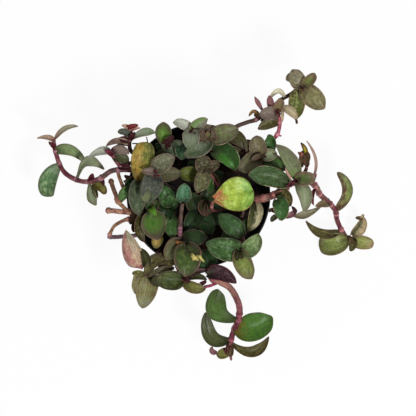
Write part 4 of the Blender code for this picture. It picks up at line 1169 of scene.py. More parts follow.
SHOOTS = {
    "shoot_ochre": Shoot(Stem([(-32, 4), (-35, 6.5, 69), (-36.7, 10.5, 76.5)], 2.4, "mauve"), [
        Leaf((-35.8, 9, 76), (-33.2, 33.4, 81), 15.4, "ochre", fold=16, via=(-34.2, 21.6, 82), fullness=0.3,
            widest=0.52, blunt=6, ruffle=0.05),
        Leaf((-36.4, 9.8, 75.5), (-37, -12.6, 78), 12.4, "slate_green", roll=-6, via=(-38.4, -1, 79),
            fullness=0.5),
        Leaf((-40.5, 3, 72), (-48.2, -4.6, 73), 7.6, "mid_green", via=(-46.2, 1.6, 75)),
        Leaf((-38, 8, 70), (-44.5, 4.8, 72.5), 6, "deep_green", via=(-43, 8, 74)),
        Leaf((-38, 8, 69), (-46.4, 12.5, 72), 5, "litter", ruffle=0.2, fold=50),
        Leaf((-38, -8, 72), (-42.8, -18, 73.4), 6, "litter", ruffle=0.24, fold=50),
        Leaf((-38.4, -13, 72), (-40.6, -23, 73), 5.6, "litter", ruffle=0.28, fold=40),
    ], twigs=[
        Stem([(-37, 12, 69), (-42, 11.2, 72), (-46.5, 8.4, 71)], 2.0, "dusty_pink", [(-42, 11.2)]),
        Stem([(-35, 24.2, 70.6), (-36, 29, 71), (-37, 32, 73), (-41, 32.4, 76)], 0.9, "dark_twig"),
        Stem([(-32, 22.6, 68.2), (-31, 30, 71), (-31.6, 33, 74), (-32.4, 36.4, 76)], 0.8, "dark_twig"),
    ]),
    "shoot_green_cup": Shoot(Stem([(-25, -3), (-28, -5.5, 69), (-29, -9, 76)], 2.6, "mauve"), [
        Leaf((-29, -8.6, 76), (-25.8, -27.6, 80), 18.4, "green_cup", fold=28, arch=-2, fullness=0.42,
            widest=0.47, blunt=4),
        Leaf((-29.5, -7.6, 78), (-26.2, -12.6, 82.5), 5.4, "bud_green", fold=35),
        Leaf((-29, -8, 76), (-31.6, -12.2, 80.5), 3.6, "deep_green", fold=45),
        Leaf((-29, -8, 75), (-33, -3, 78), 7, "dark_edged", fold=35),
        Leaf((-29, -9, 74), (-25, -3, 77), 7, "dark_edged", fold=35),
        Leaf((-25, -24.6, 72.5), (-26.8, -33, 75), 7.8, "dry_yellow", fold=25, fullness=0.46),
        Leaf((-31, -10, 73), (-33.4, -29.4, 75), 8.6, "dark_olive", roll=-14, via=(-36.6, -19, 77)),
    ]),
    "shoot_rim_cup": Shoot(Stem([(-17, 25), (-20, 28.5, 69), (-21.5, 31.5, 76)], 2.4, "maroon"), [
        Leaf((-20.8, 30.6, 76), (-22, 45.6, 81), 12, "rim_cup", fold=30, arch=-1.5, fullness=0.36,
            widest=0.6, blunt=6),
        Leaf((-20, 28.5, 69), (-27, 32, 72), 6, "deep_green"),
        Leaf((-21, 31.5, 76.5), (-15.4, 37, 80), 5.4, "maroon_dark", fold=40),
        Leaf((-21.5, 30.6, 76), (-16.6, 32.4, 78.5), 5, "maroon_dark", fold=30),
    ]),
    "shoot_centre_low": Shoot(Stem([(0, -9), (0, -10, 68)], 3, "mauve"), [
        Leaf((0, -10, 69), (-8, -22, 71.5), 12, "deep_green"),
        Leaf((0, -10, 69), (9, -24, 71), 13, "deep_green"),
        Leaf((0, -10, 69), (-6, 2, 71), 12, "dark_edged"),
        Leaf((0, -10, 69), (15, -6, 72), 11, "deep_green"),
        Leaf((0, -11, 68), (20, -16, 70), 11, "deep_green"),
        Leaf((2, -6, 70), (10, 6, 72), 10, "dark_edged"),
        Leaf((-9.5, -27.2, 73), (6, -25.6, 78), 12, "shade_green", fullness=0.5),
        Leaf((4.6, -3.4, 76), (4.6, -12.6, 79), 6.4, "cup_rim", fold=52, via=(1.8, -8, 79), fullness=0.5),
        Leaf((4.8, -3.4, 76), (5, -12.4, 78), 5.4, "cup_rim", fold=52, via=(7.4, -8, 78.5), fullness=0.5),
    ]),
    "shoot_centre_dark": Shoot(Stem([(-16, -8), (-17, -7, 68)], 3, "mauve"), [
        Leaf((-17, -11, 71), (-16, -26.8, 74), 10.4, "mid_green", widest=0.55),
        Leaf((-17, -6, 74), (-22.4, 6.6, 79), 12, "glossy_green"),
        Leaf((-17, -6, 70), (-28, -2, 72), 11, "deep_green"),
        Leaf((-17, -6, 70), (-24, -16, 71), 12, "deep_green"),
        Leaf((-18, -7, 73), (-14.2, 2.2, 78), 10, "glossy_green"),
        Leaf((-17, -2, 69), (-24, 12, 72), 10, "deep_green"),
    ], [((-18, -3.4, 73), 100, 5, "glossy_green")], twigs=[
        Stem([(-26, 12, 71), (-21, 7.6, 74), (-14.6, 4, 73)], 2.0, "purple_grey"),
    ]),
    "shoot_blue_green": Shoot(Stem([(-13, 22), (-12, 27, 69), (-12, 29, 74)], 2.6, "maroon"), [
        Leaf((-11, 26.4, 74.5), (-23.4, 31.4, 77.5), 7.6, "slate_green"),
        Leaf((-11, 31.4, 76), (-10, 22.2, 79.5), 10.4, "blue_green", fold=44, fullness=0.42),
        Leaf((-11, 28, 75), (-16, 33.8, 78), 8, "slate_green", roll=20),
        Leaf((-14, 27, 73), (-28, 24, 75), 9, "dim_olive"),
        Leaf((-11, 28, 73), (3, 25, 75), 9, "slate"),
    ], twigs=[Stem([(-15, 23.4, 72), (-17.4, 25.6, 76), (-19.8, 28.4, 76)], 2.0, "maroon")]),
    "shoot_northwest_rosette": Shoot(Stem([(-23, 9), (-25, 13, 70), (-27, 15, 81.5)], 2.8, "magenta"), [
        Leaf((-27, 14.6, 82), (-14.6, 22.8, 86), 12.2, "sage", fullness=0.52, via=(-21.6, 20.2, 86.5)),
        Leaf((-26.5, 14, 81), (-10.6, 14.6, 81.5), 10.5, "grey_olive", via=(-18.4, 13.2, 81.8)),
        Leaf((-27, 15, 82), (-35, 15.2, 86), 5.6, "mauve_grey", fold=34),
        Leaf((-26, 13.6, 81.5), (-31.4, -5.2, 85), 14.6, "slate", fold=20, fullness=0.52,
            via=(-29.4, 4.6, 84.6), sides=(0.95, 1.05)),
        Leaf((-33.2, 3.8, 84.6), (-32.4, -4.4, 86.6), 7, "spot_green", fold=14, arch=0.6, fullness=0.46),
    ], [((-26.8, 13.6, 83), 150, 4.6, "magenta_cup")]),
    "shoot_north_rosette": Shoot(Stem([(-3, 31), (-3, 38, 70), (-3, 40.5, 79)], 2.8, "maroon"), [
        Leaf((-3, 40, 81), (-16, 45.4, 84), 7.2, "silver", roll=12, via=(-9.6, 44, 84.5)),
        Leaf((-4.2, 38.6, 82), (5.8, 47.6, 84.5), 9, "split_green", fold=30, via=(-0.4, 43.8, 85)),
        Leaf((-4.4, 40, 84), (-4.6, 27.6, 90), 12.2, "silver_green", fold=26, fullness=0.5),
    ], [((-3, 40.2, 84), 20, 4.2, "maroon_dark")]),
    "shoot_north_nested": Shoot(Stem([(5, 28), (6, 33, 70), (7, 36, 82)], 2.8, "maroon"), [
        Leaf((7, 35.4, 84), (24.9, 41.6, 87), 13.8, "grey_green", fullness=0.5, via=(15.8, 38.4, 87.5)),
        Leaf((8, 33.4, 84), (-9.4, 26, 84.5), 9.4, "slate_green", roll=8, via=(0, 28, 86)),
        Leaf((6.8, 33.6, 84), (3.4, 41, 89.5), 5.6, "nested_rim", fold=46, via=(2.4, 37, 88)),
        Leaf((6.8, 33.6, 84), (8, 40.6, 89), 5.4, "nested_rim", fold=46, via=(9.8, 37, 87.5)),
        Leaf((6.4, 34, 84), (5.4, 39.6, 87.6), 4.6, "green_heart", fold=30, via=(6, 37.2, 86.8)),
        Leaf((4, 38.4, 83), (9.4, 42.4, 86), 4.4, "nested_rim", roll=-20, via=(5.6, 41.6, 86)),
    ], [((8, 34.6, 84.4), 110, 3.2, "maroon_cup")]),
    "shoot_centre_rosette": Shoot(Stem([(2, 8), (4, 12, 70), (5, 16, 80)], 2.6, "mauve"), [
        Leaf((4.6, 15.4, 82), (1.2, 25.4, 85), 11.6, "brown_olive", fullness=0.42),
        Leaf((5, 16, 82), (-0.9, 1.6, 84), 10.6, "mottled_olive", fullness=0.5),
        Leaf((5, 16, 82), (13, 21, 80), 7, "brown_olive"),
        Leaf((5, 14, 80), (9, 0.8, 83), 7.4, "mid_green", roll=15),
        Leaf((7, 14, 79), (13.4, 5, 81), 7.4, "dark_olive", roll=20),
        Leaf((3.5, 12.4, 72), (-12.4, 14.2, 77), 10.6, "yellow_green", via=(-6, 13.2, 77)),
        Leaf((3, 10, 70), (-6, 22, 73), 12, "deep_green"),
        Leaf((3, 10, 70), (16, 14, 72), 10, "deep_green"),
    ], [((5.6, 16.4, 82.8), 60, 3.8, "brown_olive")], twigs=[
        Stem([(6, 15.6, 81), (8.6, 11.6, 83.4), (12.4, 5.4, 83)], 2.0, "maroon"),
    ]),
    "shoot_northeast_green": Shoot(Stem([(11, 22), (9, 26, 72), (8.5, 28, 79)], 2.6, "maroon"), [
        Leaf((8.5, 27.6, 80), (23.2, 15.4, 85), 14, "vivid_green", fold=18, via=(17.6, 24.4, 86.5),
            fullness=0.48, sides=(1.1, 0.8)),
        Leaf((9, 26, 72), (28, 27, 77), 11, "dark_olive"),
        Leaf((14, 36, 76), (29, 28, 79), 10, "brown_green", via=(24, 36, 80)),
    ]),
    "shoot_northeast_rosette": Shoot(Stem([(30, 17), (34, 21, 70), (37, 25, 77)], 3, "maroon"), [
        Leaf((37.6, 24.6, 79), (36, 37.4, 83), 12, "mottled_brown", fullness=0.42, blunt=3.6),
        Leaf((38, 24.4, 79), (25, 15.2, 83), 12.6, "grey_olive", fullness=0.5),
        Leaf((39.6, 24.2, 81), (32.4, 21.2, 84.4), 3.8, "nested_rim", fold=40, via=(36, 24, 84)),
        Leaf((36, 25, 78), (29.4, 34.8, 80), 9, "grey_olive"),
        Leaf((38, 25, 79), (49, 26, 81), 9, "pale_sage", via=(44, 25.4, 82)),
        Leaf((40, 25, 77), (43.2, 38, 80), 10, "mid_green_bright", roll=-14, via=(44.6, 31.4, 81)),
        Leaf((38, 24, 78.4), (54.4, 15.6, 79), 11.5, "dark_edged", via=(47, 20.4, 80.5)),
    ], [((38, 23.6, 80), 10, 4.6, "maroon_dark")]),
    "shoot_east_rosette": Shoot(Stem([(55, 5.5, 82), (56.5, 6.7, 83), (59, 8, 85)], 3.6, "dusty_pink"), [
        Leaf((57, 6.4, 86), (31, 12.2, 91), 13.6, "tan_edged", fold=20, via=(43.4, 11.8, 91.5),
            fullness=0.42, widest=0.5),
        Leaf((60, 9.5, 85), (48, 31.6, 90), 13, "edged_sage", sides=(0.25, 1.3), fold=20),
        Leaf((60, 10, 85), (73, 11, 88), 10, "rim_green", fullness=0.42, blunt=4),
        Leaf((60.5, 7.4, 85), (65.4, -10.6, 83), 10, "pale_sage", via=(66.2, 0.6, 87), fullness=0.62),
        Leaf((48.6, -2.2, 83), (50.8, -15.8, 85.4), 11, "mid_green_bright", roll=8, via=(51.4, -8, 87.4),
            fullness=0.46),
        Leaf((48.4, 1.4, 79), (57, -7, 83), 9, "dark_olive", roll=10, via=(54, -0.4, 83), fullness=0.48),
        Leaf((60.4, -10.4, 83), (53.4, -14, 84.4), 4, "mauve_bract"),
        Leaf((60.6, -10.6, 83.4), (58, -6.6, 85.5), 2.8, "maroon_dark"),
        Leaf((49.5, -12, 83.6), (44, -10.6, 83.6), 3.2, "litter", ruffle=0.2, via=(46, -9, 85)),
        Leaf((49.5, -13, 83.6), (45.4, -16.6, 83.6), 3.8, "deep_olive", via=(46.6, -14, 85)),
        Leaf((73.4, 5, 66), (72.2, -6.2, 72), 2.8, "maroon_cup", via=(70.8, -1.2, 72)),
        Leaf((58, 8.4, 84.4), (54, 17.4, 85), 2.8, "pink_ear", widest=0.7),
    ], [((57, 6.6, 88), 20, 3.4, "magenta_cup"), ((60.6, 9, 86.4), 40, 3.4, "maroon_dark")]),
    "shoot_east_bud": Shoot(Stem([
        (62, 9, 81), (66, 14.4, 82), (67.2, 18, 84), (66, 22, 86),
    ], 2.4, "dusty_pink"), [
        Leaf((65.8, 18.8, 84), (65, 28, 87.6), 9, "bud_brown", fold=44, fullness=0.38),
        Leaf((65.4, 19.4, 84), (67.4, 27, 88), 6, "bud_brown", fold=50, fullness=0.4, via=(67.6, 23.4, 87)),
        Leaf((66.4, 25, 87), (63.4, 32.8, 91), 4.0, "yellow_streak", roll=20, fold=44),
        Leaf((65, 24.6, 87), (61.6, 26.8, 88), 2.8, "stub_rose", fold=30),
        Leaf((71.4, 11.8, 83), (66.8, 33.8, 92), 2.2, "mauve_pale", via=(72.6, 22.8, 90), fold=40,
            fullness=0.4),
    ], twigs=[Stem([(71, 9, 80), (72.4, 11, 82), (73, 13.4, 83.6)], 1.6, "dusty_pink")]),
    "shoot_west_sprig": Shoot(Stem([
        (-30, 19.5), (-36, 20.3, 69), (-41, 20.5, 75), (-46.5, 18.5, 79), (-49, 18.5, 80.5), (-53, 24, 81),
        (-54.5, 27, 81),
    ], 2.8, "maroon", [(-48, 18.3), (-54, 26)]), [
        Leaf((-54, 26.2, 81.5), (-43, 25.6, 84), 6.4, "mauve_grey", roll=12, via=(-48.4, 28.6, 85),
            fullness=0.5),
        Leaf((-53, 24, 81), (-43.4, 20.4, 79), 7.6, "dim_olive", roll=-12, via=(-47.4, 22.8, 82)),
        Leaf((-54.8, 27, 81.5), (-69.4, 23, 76), 6, "silver", roll=16, via=(-61, 27.4, 81), fullness=0.7,
            widest=0.35),
        Leaf((-49.5, 18, 80), (-42, 17.2, 81), 6, "maroon_dark", fold=45),
        Leaf((-46, 18, 78), (-41, 14.8, 78), 4.4, "maroon_dark", fold=45),
        Leaf((-53.4, 25, 82), (-58, 28.4, 84), 4.2, "magenta_cup", fold=46),
        Leaf((-53.8, 25.6, 82), (-53.4, 29.6, 84.4), 3, "maroon_dark", fold=46),
    ]),
    "shoot_northwest_sprig": Shoot(Stem([
        (-28, 20.5), (-33, 23, 68.5), (-38, 25.5, 74), (-42.3, 28, 76), (-43, 35, 76), (-42, 40.2, 77),
    ], 2.9, "dark_twig", [(-43.2, 34)]), [
        Leaf((-43.3, 34, 76), (-26.6, 38.8, 80), 5.8, "silver_green", roll=-10, via=(-34.4, 39.2, 81),
            widest=0.62),
        Leaf((-42.4, 36.6, 76.6), (-50, 38.8, 79), 5.4, "slate", fold=40, via=(-46.6, 39.6, 80)),
        Leaf((-42, 35.6, 75.5), (-49.8, 36, 77), 5, "maroon_dark", via=(-46, 34.8, 77)),
        Leaf((-42.4, 35, 76.5), (-39.4, 39.4, 79), 4.4, "maroon_dark", fold=48),
        Leaf((-41.8, 40.6, 77.5), (-47.8, 43.8, 79), 3.4, "pink_ear", roll=20),
        Leaf((-41.8, 40.4, 77.5), (-36.2, 42, 79), 2.8, "pink_ear", roll=-20),
        Leaf((-44.6, 42, 79), (-37.4, 43.8, 80.5), 4, "red_cup", fold=40),
        Leaf((-42.6, 32, 76), (-57.8, 30.8, 73.5), 4.4, "mauve_pale", roll=12, via=(-50.4, 34, 77)),
        Leaf((-42.6, 31, 75), (-53.5, 28.8, 74), 2.2, "litter", via=(-48, 31.8, 75)),
    ]),
    "shoot_northeast_middle": Shoot(Stem([(49.2, 50.5, 77.5), (48.5, 52.5, 77)], 3, "dusty_pink"), [
        Leaf((49, 52, 77.5), (37.6, 50, 80.5), 9.4, "mauve_grey", fullness=0.46),
        Leaf((48.8, 52.6, 77.5), (52, 60, 80), 7.2, "cup_tan", fullness=0.42, fold=34, blunt=4),
        Leaf((50.4, 46.4, 77.5), (36.8, 41.2, 78.6), 7.6, "dark_olive", roll=8, via=(44, 44.6, 79),
            fullness=0.44),
        Leaf((47, 48.4, 76), (38.4, 46.6, 77), 4.4, "deep_olive"),
        Leaf((45.6, 53, 77.4), (44, 62.4, 79), 5, "mauve_bract", widest=0.5),
        Leaf((40.8, 51.4, 78), (34.8, 61.6, 79), 3.2, "mauve_bract", widest=0.66),
        Leaf((52, 54, 76), (61.6, 47, 74), 6.2, "tan_pale", via=(56.6, 53, 77), widest=0.5),
        Leaf((60.8, 47.6, 74), (61.4, 44.6, 73), 1.6, "litter"),
        Leaf((52.4, 54, 76.6), (52.2, 45.6, 76), 2.2, "tan_pale"),
        Leaf((38.8, 48, 73), (31.4, 49.2, 74), 3.4, "brown_dry", ruffle=0.3, via=(34.6, 52.4, 76), fold=50),
        Leaf((38, 48.6, 73), (34.6, 50.8, 74), 3.4, "litter", fold=50),
        Leaf((54, 61, 65.6), (43.6, 59.4, 71), 3.6, "pale_arch", via=(49.4, 65.2, 73), fullness=0.5),
    ], [((50, 50.6, 78.6), 90, 3.0, "red_cup"), ((49.6, 52, 79), 0, 2.4, "maroon_dark")], twigs=[
        Stem([(47.6, 36.6, 78.5), (49.4, 37.4, 78.6), (51.6, 37, 78.4)], 1.2, "magenta"),
    ]),
    "shoot_northeast_tip": Shoot(Stem([(61.5, 66.2, 62), (63, 67.2, 62.6), (65, 69, 65)], 2.8, "dark_twig"), [
        Leaf((64, 67.6, 66), (58.6, 79, 67), 11.4, "tan_green", fullness=0.46),
        Leaf((63.4, 69, 66.6), (54.6, 72, 66), 8.6, "tan_green", roll=10, fullness=0.66,
            via=(59, 73.2, 67.6)),
        Leaf((65.6, 68.2, 66.5), (73.2, 76, 69), 8.4, "green_heart", fold=34, fullness=0.42, blunt=3.4),
        Leaf((64.6, 67.6, 66), (79, 54.2, 66), 14, "tan_olive", fold=20, fullness=0.46),
        Leaf((62, 66.6, 65.6), (60.6, 47.2, 66), 11.8, "glossy_olive"),
    ], [((65, 68, 67), 100, 2.8, "maroon_dark")]),
    "shoot_east_tip": Shoot(Stem([(94, -26, 10), (95, -26.9, 9.6), (97, -28, 7.5)], 3, "dark_twig"), [
        Leaf((98.4, -28.8, 7.5), (112.2, -31.2, 8), 9.8, "tip_green", fullness=0.4, blunt=4),
        Leaf((98, -25.4, 9), (105, -13.4, 15), 8.2, "tip_split", via=(103.6, -20, 15)),
        Leaf((104.4, -14.4, 15), (100, -14, 16), 3, "bud_brown", fold=40),
        Leaf((103.8, -14.6, 15.4), (105.2, -11.8, 15.4), 2.6, "tan_pale", fold=40),
        Leaf((98.6, -27, 9), (96.6, -35.4, 8), 5.4, "dark_olive", via=(98.8, -31.4, 11)),
        Leaf((95.6, -25.6, 11), (95, -31.6, 10), 4, "bud_brown", via=(97, -29, 12)),
    ]),
    "shoot_west_tip": Shoot(Stem([(-91.5, 33, 40), (-91.6, 33.8, 40.3), (-91.4, 36, 42)], 2.8, "maroon"), [
        Leaf((-91, 34.6, 42), (-102, 36.2, 45), 4, "west_tip_pink", roll=20, via=(-95.6, 36.6, 45),
            widest=0.3, fullness=0.7),
        Leaf((-91, 35.4, 42), (-75.8, 43.8, 47), 3.8, "west_tip_sage", roll=-16, via=(-84.2, 42, 48),
            fullness=0.6),
        Leaf((-90.4, 30, 40), (-94.6, 34, 43.4), 4.2, "maroon_cup", fold=50, widest=0.35),
    ]),
    "shoot_south_tip": Shoot(Stem([(19, -97, 32), (18.7, -98, 31.6), (18.2, -99, 31)], 3, "maroon"), [
        Leaf((19.4, -97.6, 31), (11, -100.2, 30), 7.4, "yellow_olive", fullness=0.42,
            via=(15.4, -100.2, 31)),
        Leaf((20.4, -93, 34), (20.2, -102.2, 31), 5.6, "bud_brown", fold=44, fullness=0.5),
        Leaf((19.4, -93, 34), (17.4, -100.6, 32), 4, "maroon_cup", fold=44),
        Leaf((20, -100.6, 31), (20.8, -104.8, 30.4), 1.8, "mauve_bract"),
        Leaf((11.6, -99.4, 31), (8.6, -95.6, 32), 3.8, "mauve_bract", via=(8.6, -98.6, 32), fullness=0.5),
    ]),
    "shoot_south": Shoot(Stem([(-12, -37), (-10, -33, 69), (-8, -31.5, 76)], 2.8, "mauve"), [
        Leaf((-7.4, -30.6, 77), (-8, -50.4, 84), 19, "south_dark_green", fold=22, fullness=0.5,
            via=(-6.8, -40, 83.5)),
        Leaf((-11.4, -28.4, 76), (-20.4, -39.6, 80), 12.4, "cup_brown", fullness=0.46),
        Leaf((-4.4, -36.2, 84.6), (0.4, -40.4, 86.4), 3, "torn_pale", roll=10, ruffle=0.35, fold=40),
        Leaf((-1.8, -37.2, 85), (3.6, -41.6, 86), 2.8, "torn_pale", roll=-20, ruffle=0.4, fold=44),
        Leaf((-3.4, -40.4, 85), (-0.6, -37.4, 86.6), 2.2, "torn_pale", ruffle=0.3, fold=44),
        Leaf((-10, -34, 72), (-25, -45, 74), 11, "dark_olive"),
        Leaf((-6, -33, 72), (6, -47, 74), 12, "deep_green"),
        Leaf((-9, -31, 76.4), (-14.8, -28.4, 78.8), 3.4, "orange_sheath", fold=50, fullness=0.4),
        Leaf((2, -36, 72), (12, -42, 73), 9, "deep_green"),
    ]),
    "shoot_southwest_low": Shoot(Stem([
        (-15, -32), (-14.5, -38, 69), (-13.5, -44, 74), (-9, -53, 75),
    ], 2.8, "maroon"), [
        Leaf((-9.4, -52.8, 75), (-27, -52.6, 77), 13.6, "south_green", fullness=0.44),
        Leaf((-20, -52, 74), (-29.8, -54, 75.5), 8.4, "deep_olive", fullness=0.5),
        Leaf((-9.5, -54, 75), (4.6, -57.6, 78), 8, "yellow_olive", via=(-2.4, -57.6, 78.5), fullness=0.5),
        Leaf((-17, -38, 72), (-33.4, -50.6, 72.5), 7.6, "dark_olive", via=(-27.6, -41.6, 76)),
        Leaf((-15, -45.4, 73), (-31.4, -51, 73.5), 4.6, "brown_olive", via=(-24, -46.6, 76.5)),
        Leaf((-8.5, -52, 75), (6.6, -47, 76), 4.4, "mauve_dark", roll=-12, via=(-1.6, -47.6, 77)),
        Leaf((-7.6, -52, 74.6), (5.4, -52.6, 76), 4.6, "deep_olive", via=(-1, -50.4, 77)),
        Leaf((-8.8, -51, 76), (-5.8, -54.4, 78.5), 4.6, "maroon_dark", fold=46),
        Leaf((1.4, -55.2, 76), (5, -53.2, 77.4), 3.6, "maroon_dark", fold=46),
    ], twigs=[Stem([(3.6, -57, 75), (7.4, -56.2, 76), (11.2, -54.8, 75.6)], 2.0, "magenta")]),
    "shoot_southwest_tip": Shoot(Stem([(-33, -52, 70), (-33.1, -53, 69.6), (-33.3, -55, 69)], 3, "mauve"), [
        Leaf((-31.8, -47.6, 70.4), (-35.9, -70.4, 66), 16, "torn_sage", fullness=0.6, widest=0.32,
            via=(-33, -59.6, 70.4)),
        Leaf((-37, -47.8, 72), (-39.2, -61.6, 70.6), 6, "torn_sage", fullness=0.5, via=(-39, -54.6, 73),
            ruffle=0.2, fold=30),
        Leaf((-31, -49, 70), (-24, -36.6, 75), 7.6, "dark_olive", roll=-8, via=(-29.4, -41.6, 76)),
        Leaf((-30.4, -49.4, 71), (-26, -57, 72), 5, "deep_olive"),
        Leaf((-33, -49.6, 71.6), (-41.6, -48.2, 71.4), 5, "torn_yellow", ruffle=0.24, fold=30),
    ]),
    "shoot_southeast": Shoot(Stem([(27.2, -28.6, 83), (27.4, -29.6, 84), (28, -32, 86)], 3.4, "dark_twig"), [
        Leaf((28.4, -33.6, 86), (4.6, -29, 89), 15.8, "streaked_green", fold=20, via=(16.6, -32.9, 89.6),
            fullness=0.52),
        Leaf((27.6, -32.6, 87.4), (36.9, -23.4, 92), 13.4, "pale_green", fold=32, sides=(0.7, 1.25),
            via=(33, -30, 91.6), fullness=0.5),
        Leaf((25.4, -34.4, 87.4), (33.4, -52, 87.4), 13.6, "south_cup", fold=28, fullness=0.44,
            via=(28.2, -43, 90)),
        Leaf((27.8, -24.4, 82), (12.4, -11.8, 84), 13.4, "dim_green", fullness=0.52),
        Leaf((26, -22, 76), (14, -30, 78), 12, "deep_green"),
        Leaf((26, -22, 76), (34.4, -14, 76.4), 7.4, "deep_green"),
        Leaf((25.4, -34.6, 88), (23.6, -40.4, 91), 4.8, "deep_olive", fold=46),
        Leaf((25.4, -34.6, 88), (27.2, -39.6, 91), 4.2, "deep_olive", fold=46),
    ], twigs=[Stem([(27, -13, 76), (27.8, -10.4, 80), (28.4, -8, 81)], 2.0, "grey_twig")]),
}


def seat(leaf, carrier):
    """The leaf; a base given in plan is set on the nearest point inside the stem that carries it."""
    if len(leaf.base) == 3:
        return leaf
    points = smooth_route(rooted(STEMS[carrier].route), 1.0)
    return replace(leaf, base=tuple(points[nearest(points, lambda p: (p.xy - Vector(leaf.base)).length)]))


# Which material slot each piece belongs to; the pieces that aren't named here belong to leaf_sage. hand_over
# looks the slot up but gives it to nothing.
SLOT_PIECES = {
    "stem_tan": ("stem_old_rim", "stem_old_short", "stem_old_salmon", "stem_old_hook"),
    "stem_pink": (
        "stem_mauve", "stem_southwest", "stem_pink_northeast", "stem_teal_leaf", "stem_lime_leaf",
        "stem_east_branch"),
    "stem_maroon": (
        "stem_west_runner", "stem_south_runner", "stem_northeast_runner", "stem_east_runner",
        "stem_southeast", "shoot_east_bud"),
    "leaf_lime": ("leaf_lime",),
    "leaf_teal": ("leaf_teal", "shoot_blue_green"),
    "leaf_rose": ("leaf_pink_back",),
    "leaf_plum": ("leaf_plum",),
    "leaf_ochre": ("shoot_ochre",),
    "leaf_green": (
        "leaf_south_crescent", "leaf_south_broad", "leaf_east_upright", "leaf_east_floor",
        "shoot_centre_dark", "shoot_centre_low", "shoot_east_rosette", "shoot_east_tip", "shoot_green_cup",
        "shoot_northeast_green", "shoot_rim_cup", "shoot_south", "shoot_southeast", "shoot_southwest_low"),
    "leaf_olive": (
        "leaf_east_dark", "leaf_east_narrow", "leaf_south_boomerang", "leaf_south_dark",
        "shoot_centre_rosette", "shoot_north_nested", "shoot_south_tip"),
    "pot_plastic": ("pot",),
    "potting_mix": ("soil",),
}


def slot_of(node):
    return next((slot for slot, nodes in SLOT_PIECES.items() if node in nodes), "leaf_sage")


def hand_over(piece, node):
    """Let a finished piece stand for its solid."""
    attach(piece, "root")
    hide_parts(node)
    slot_of(node)


def make_plant():
    leaf = leaf_template()
    parts = {name: [grow_stem(stem, name + "_stem")] for name, stem in STEMS.items()}
    for name, (carrier, leaves) in SINGLE_LEAVES.items():
        seated = [seat(one, carrier) for one in leaves]
        parts[name] = [lay_leaves(leaf, seated, name, random.Random(name))]
    for name, shoot in SHOOTS.items():
        leaves = list(shoot.leaves)
        for heart in shoot.hearts:
            leaves += heart_leaves(*heart)
        parts[name] = [grow_stem(shoot.stem, name + "_stem")]
        parts[name] += [lay_leaves(leaf, leaves, name, random.Random(name))]
        parts[name] += [grow_stem(twig, name + "_twig") for twig in shoot.twigs]
    removed(leaf)
    for name, grown in parts.items():
        hand_over(joined(grown, name + "_grown"), name)


# ---------------------------------------------------------------- pot and soil


def turn_up(name, rings, sides):
    """A round wall drawn up ring by ring from its first (radius, height), then closed at both ends."""
    nothing_selected()
    radius, height = rings[0]
    bpy.ops.mesh.primitive_circle_add(vertices=sides, radius=radius * MM, location=(0, 0, 0))
    made = bpy.context.object
    made.name = name
    bpy.ops.object.mode_set(mode="EDIT")
    bpy.ops.mesh.select_all(action="SELECT")
    bpy.ops.transform.translate(value=(0, 0, height * MM))
    for wide, high in rings[1:]:
        bpy.ops.mesh.extrude_region_move()
        grow = wide / radius
        bpy.ops.transform.resize(value=(grow, grow, 1), center_override=(0, 0, 0))
        bpy.ops.transform.translate(value=(0, 0, (high - height) * MM))
        radius, height = wide, high
    bpy.ops.mesh.edge_face_add()
    bpy.ops.object.mode_set(mode="OBJECT")
    radius, height = rings[0]
    mesh = made.data
    for vertex in mesh.vertices:
        off_height = abs(vertex.co.z - height * MM)
        off_radius = abs(vertex.co.xy.length - radius * MM)
        vertex.select = max(off_height, off_radius) < TOUCH
    for edge in mesh.edges:
        edge.select = all(mesh.vertices[end].select for end in edge.vertices)
    for face in mesh.polygons:
        face.select = False
    bpy.ops.object.mode_set(mode="EDIT")
    bpy.ops.mesh.edge_face_add()
    bpy.ops.mesh.select_all(action="SELECT")
    bpy.ops.mesh.normals_make_consistent(inside=False)
    bpy.ops.object.mode_set(mode="OBJECT")
    return made


def pot_plastic(tree):
    """Black moulded plastic: faint turning lines, scuffs and dust."""
    where = coordinates(tree, "Object")
    scuffs, dust = cloud(tree, where, *SCUFFS), cloud(tree, where, *DUST)
    black = dust.step(0.5, 0.8).between(tint(17, 17, 19), tint(40, 38, 37))
    colour = scuffs.step(0.66, 0.76).between(black, tint(62, 60, 58))
    turning = {"Vector": where, "Scale": 260.0, "Distortion": 0.4}
    lines = read(tree, "ShaderNodeTexWave", turning, "Fac", bands_direction="Z")
    return colour, 0.34 + dust * 0.3, lines + scuffs


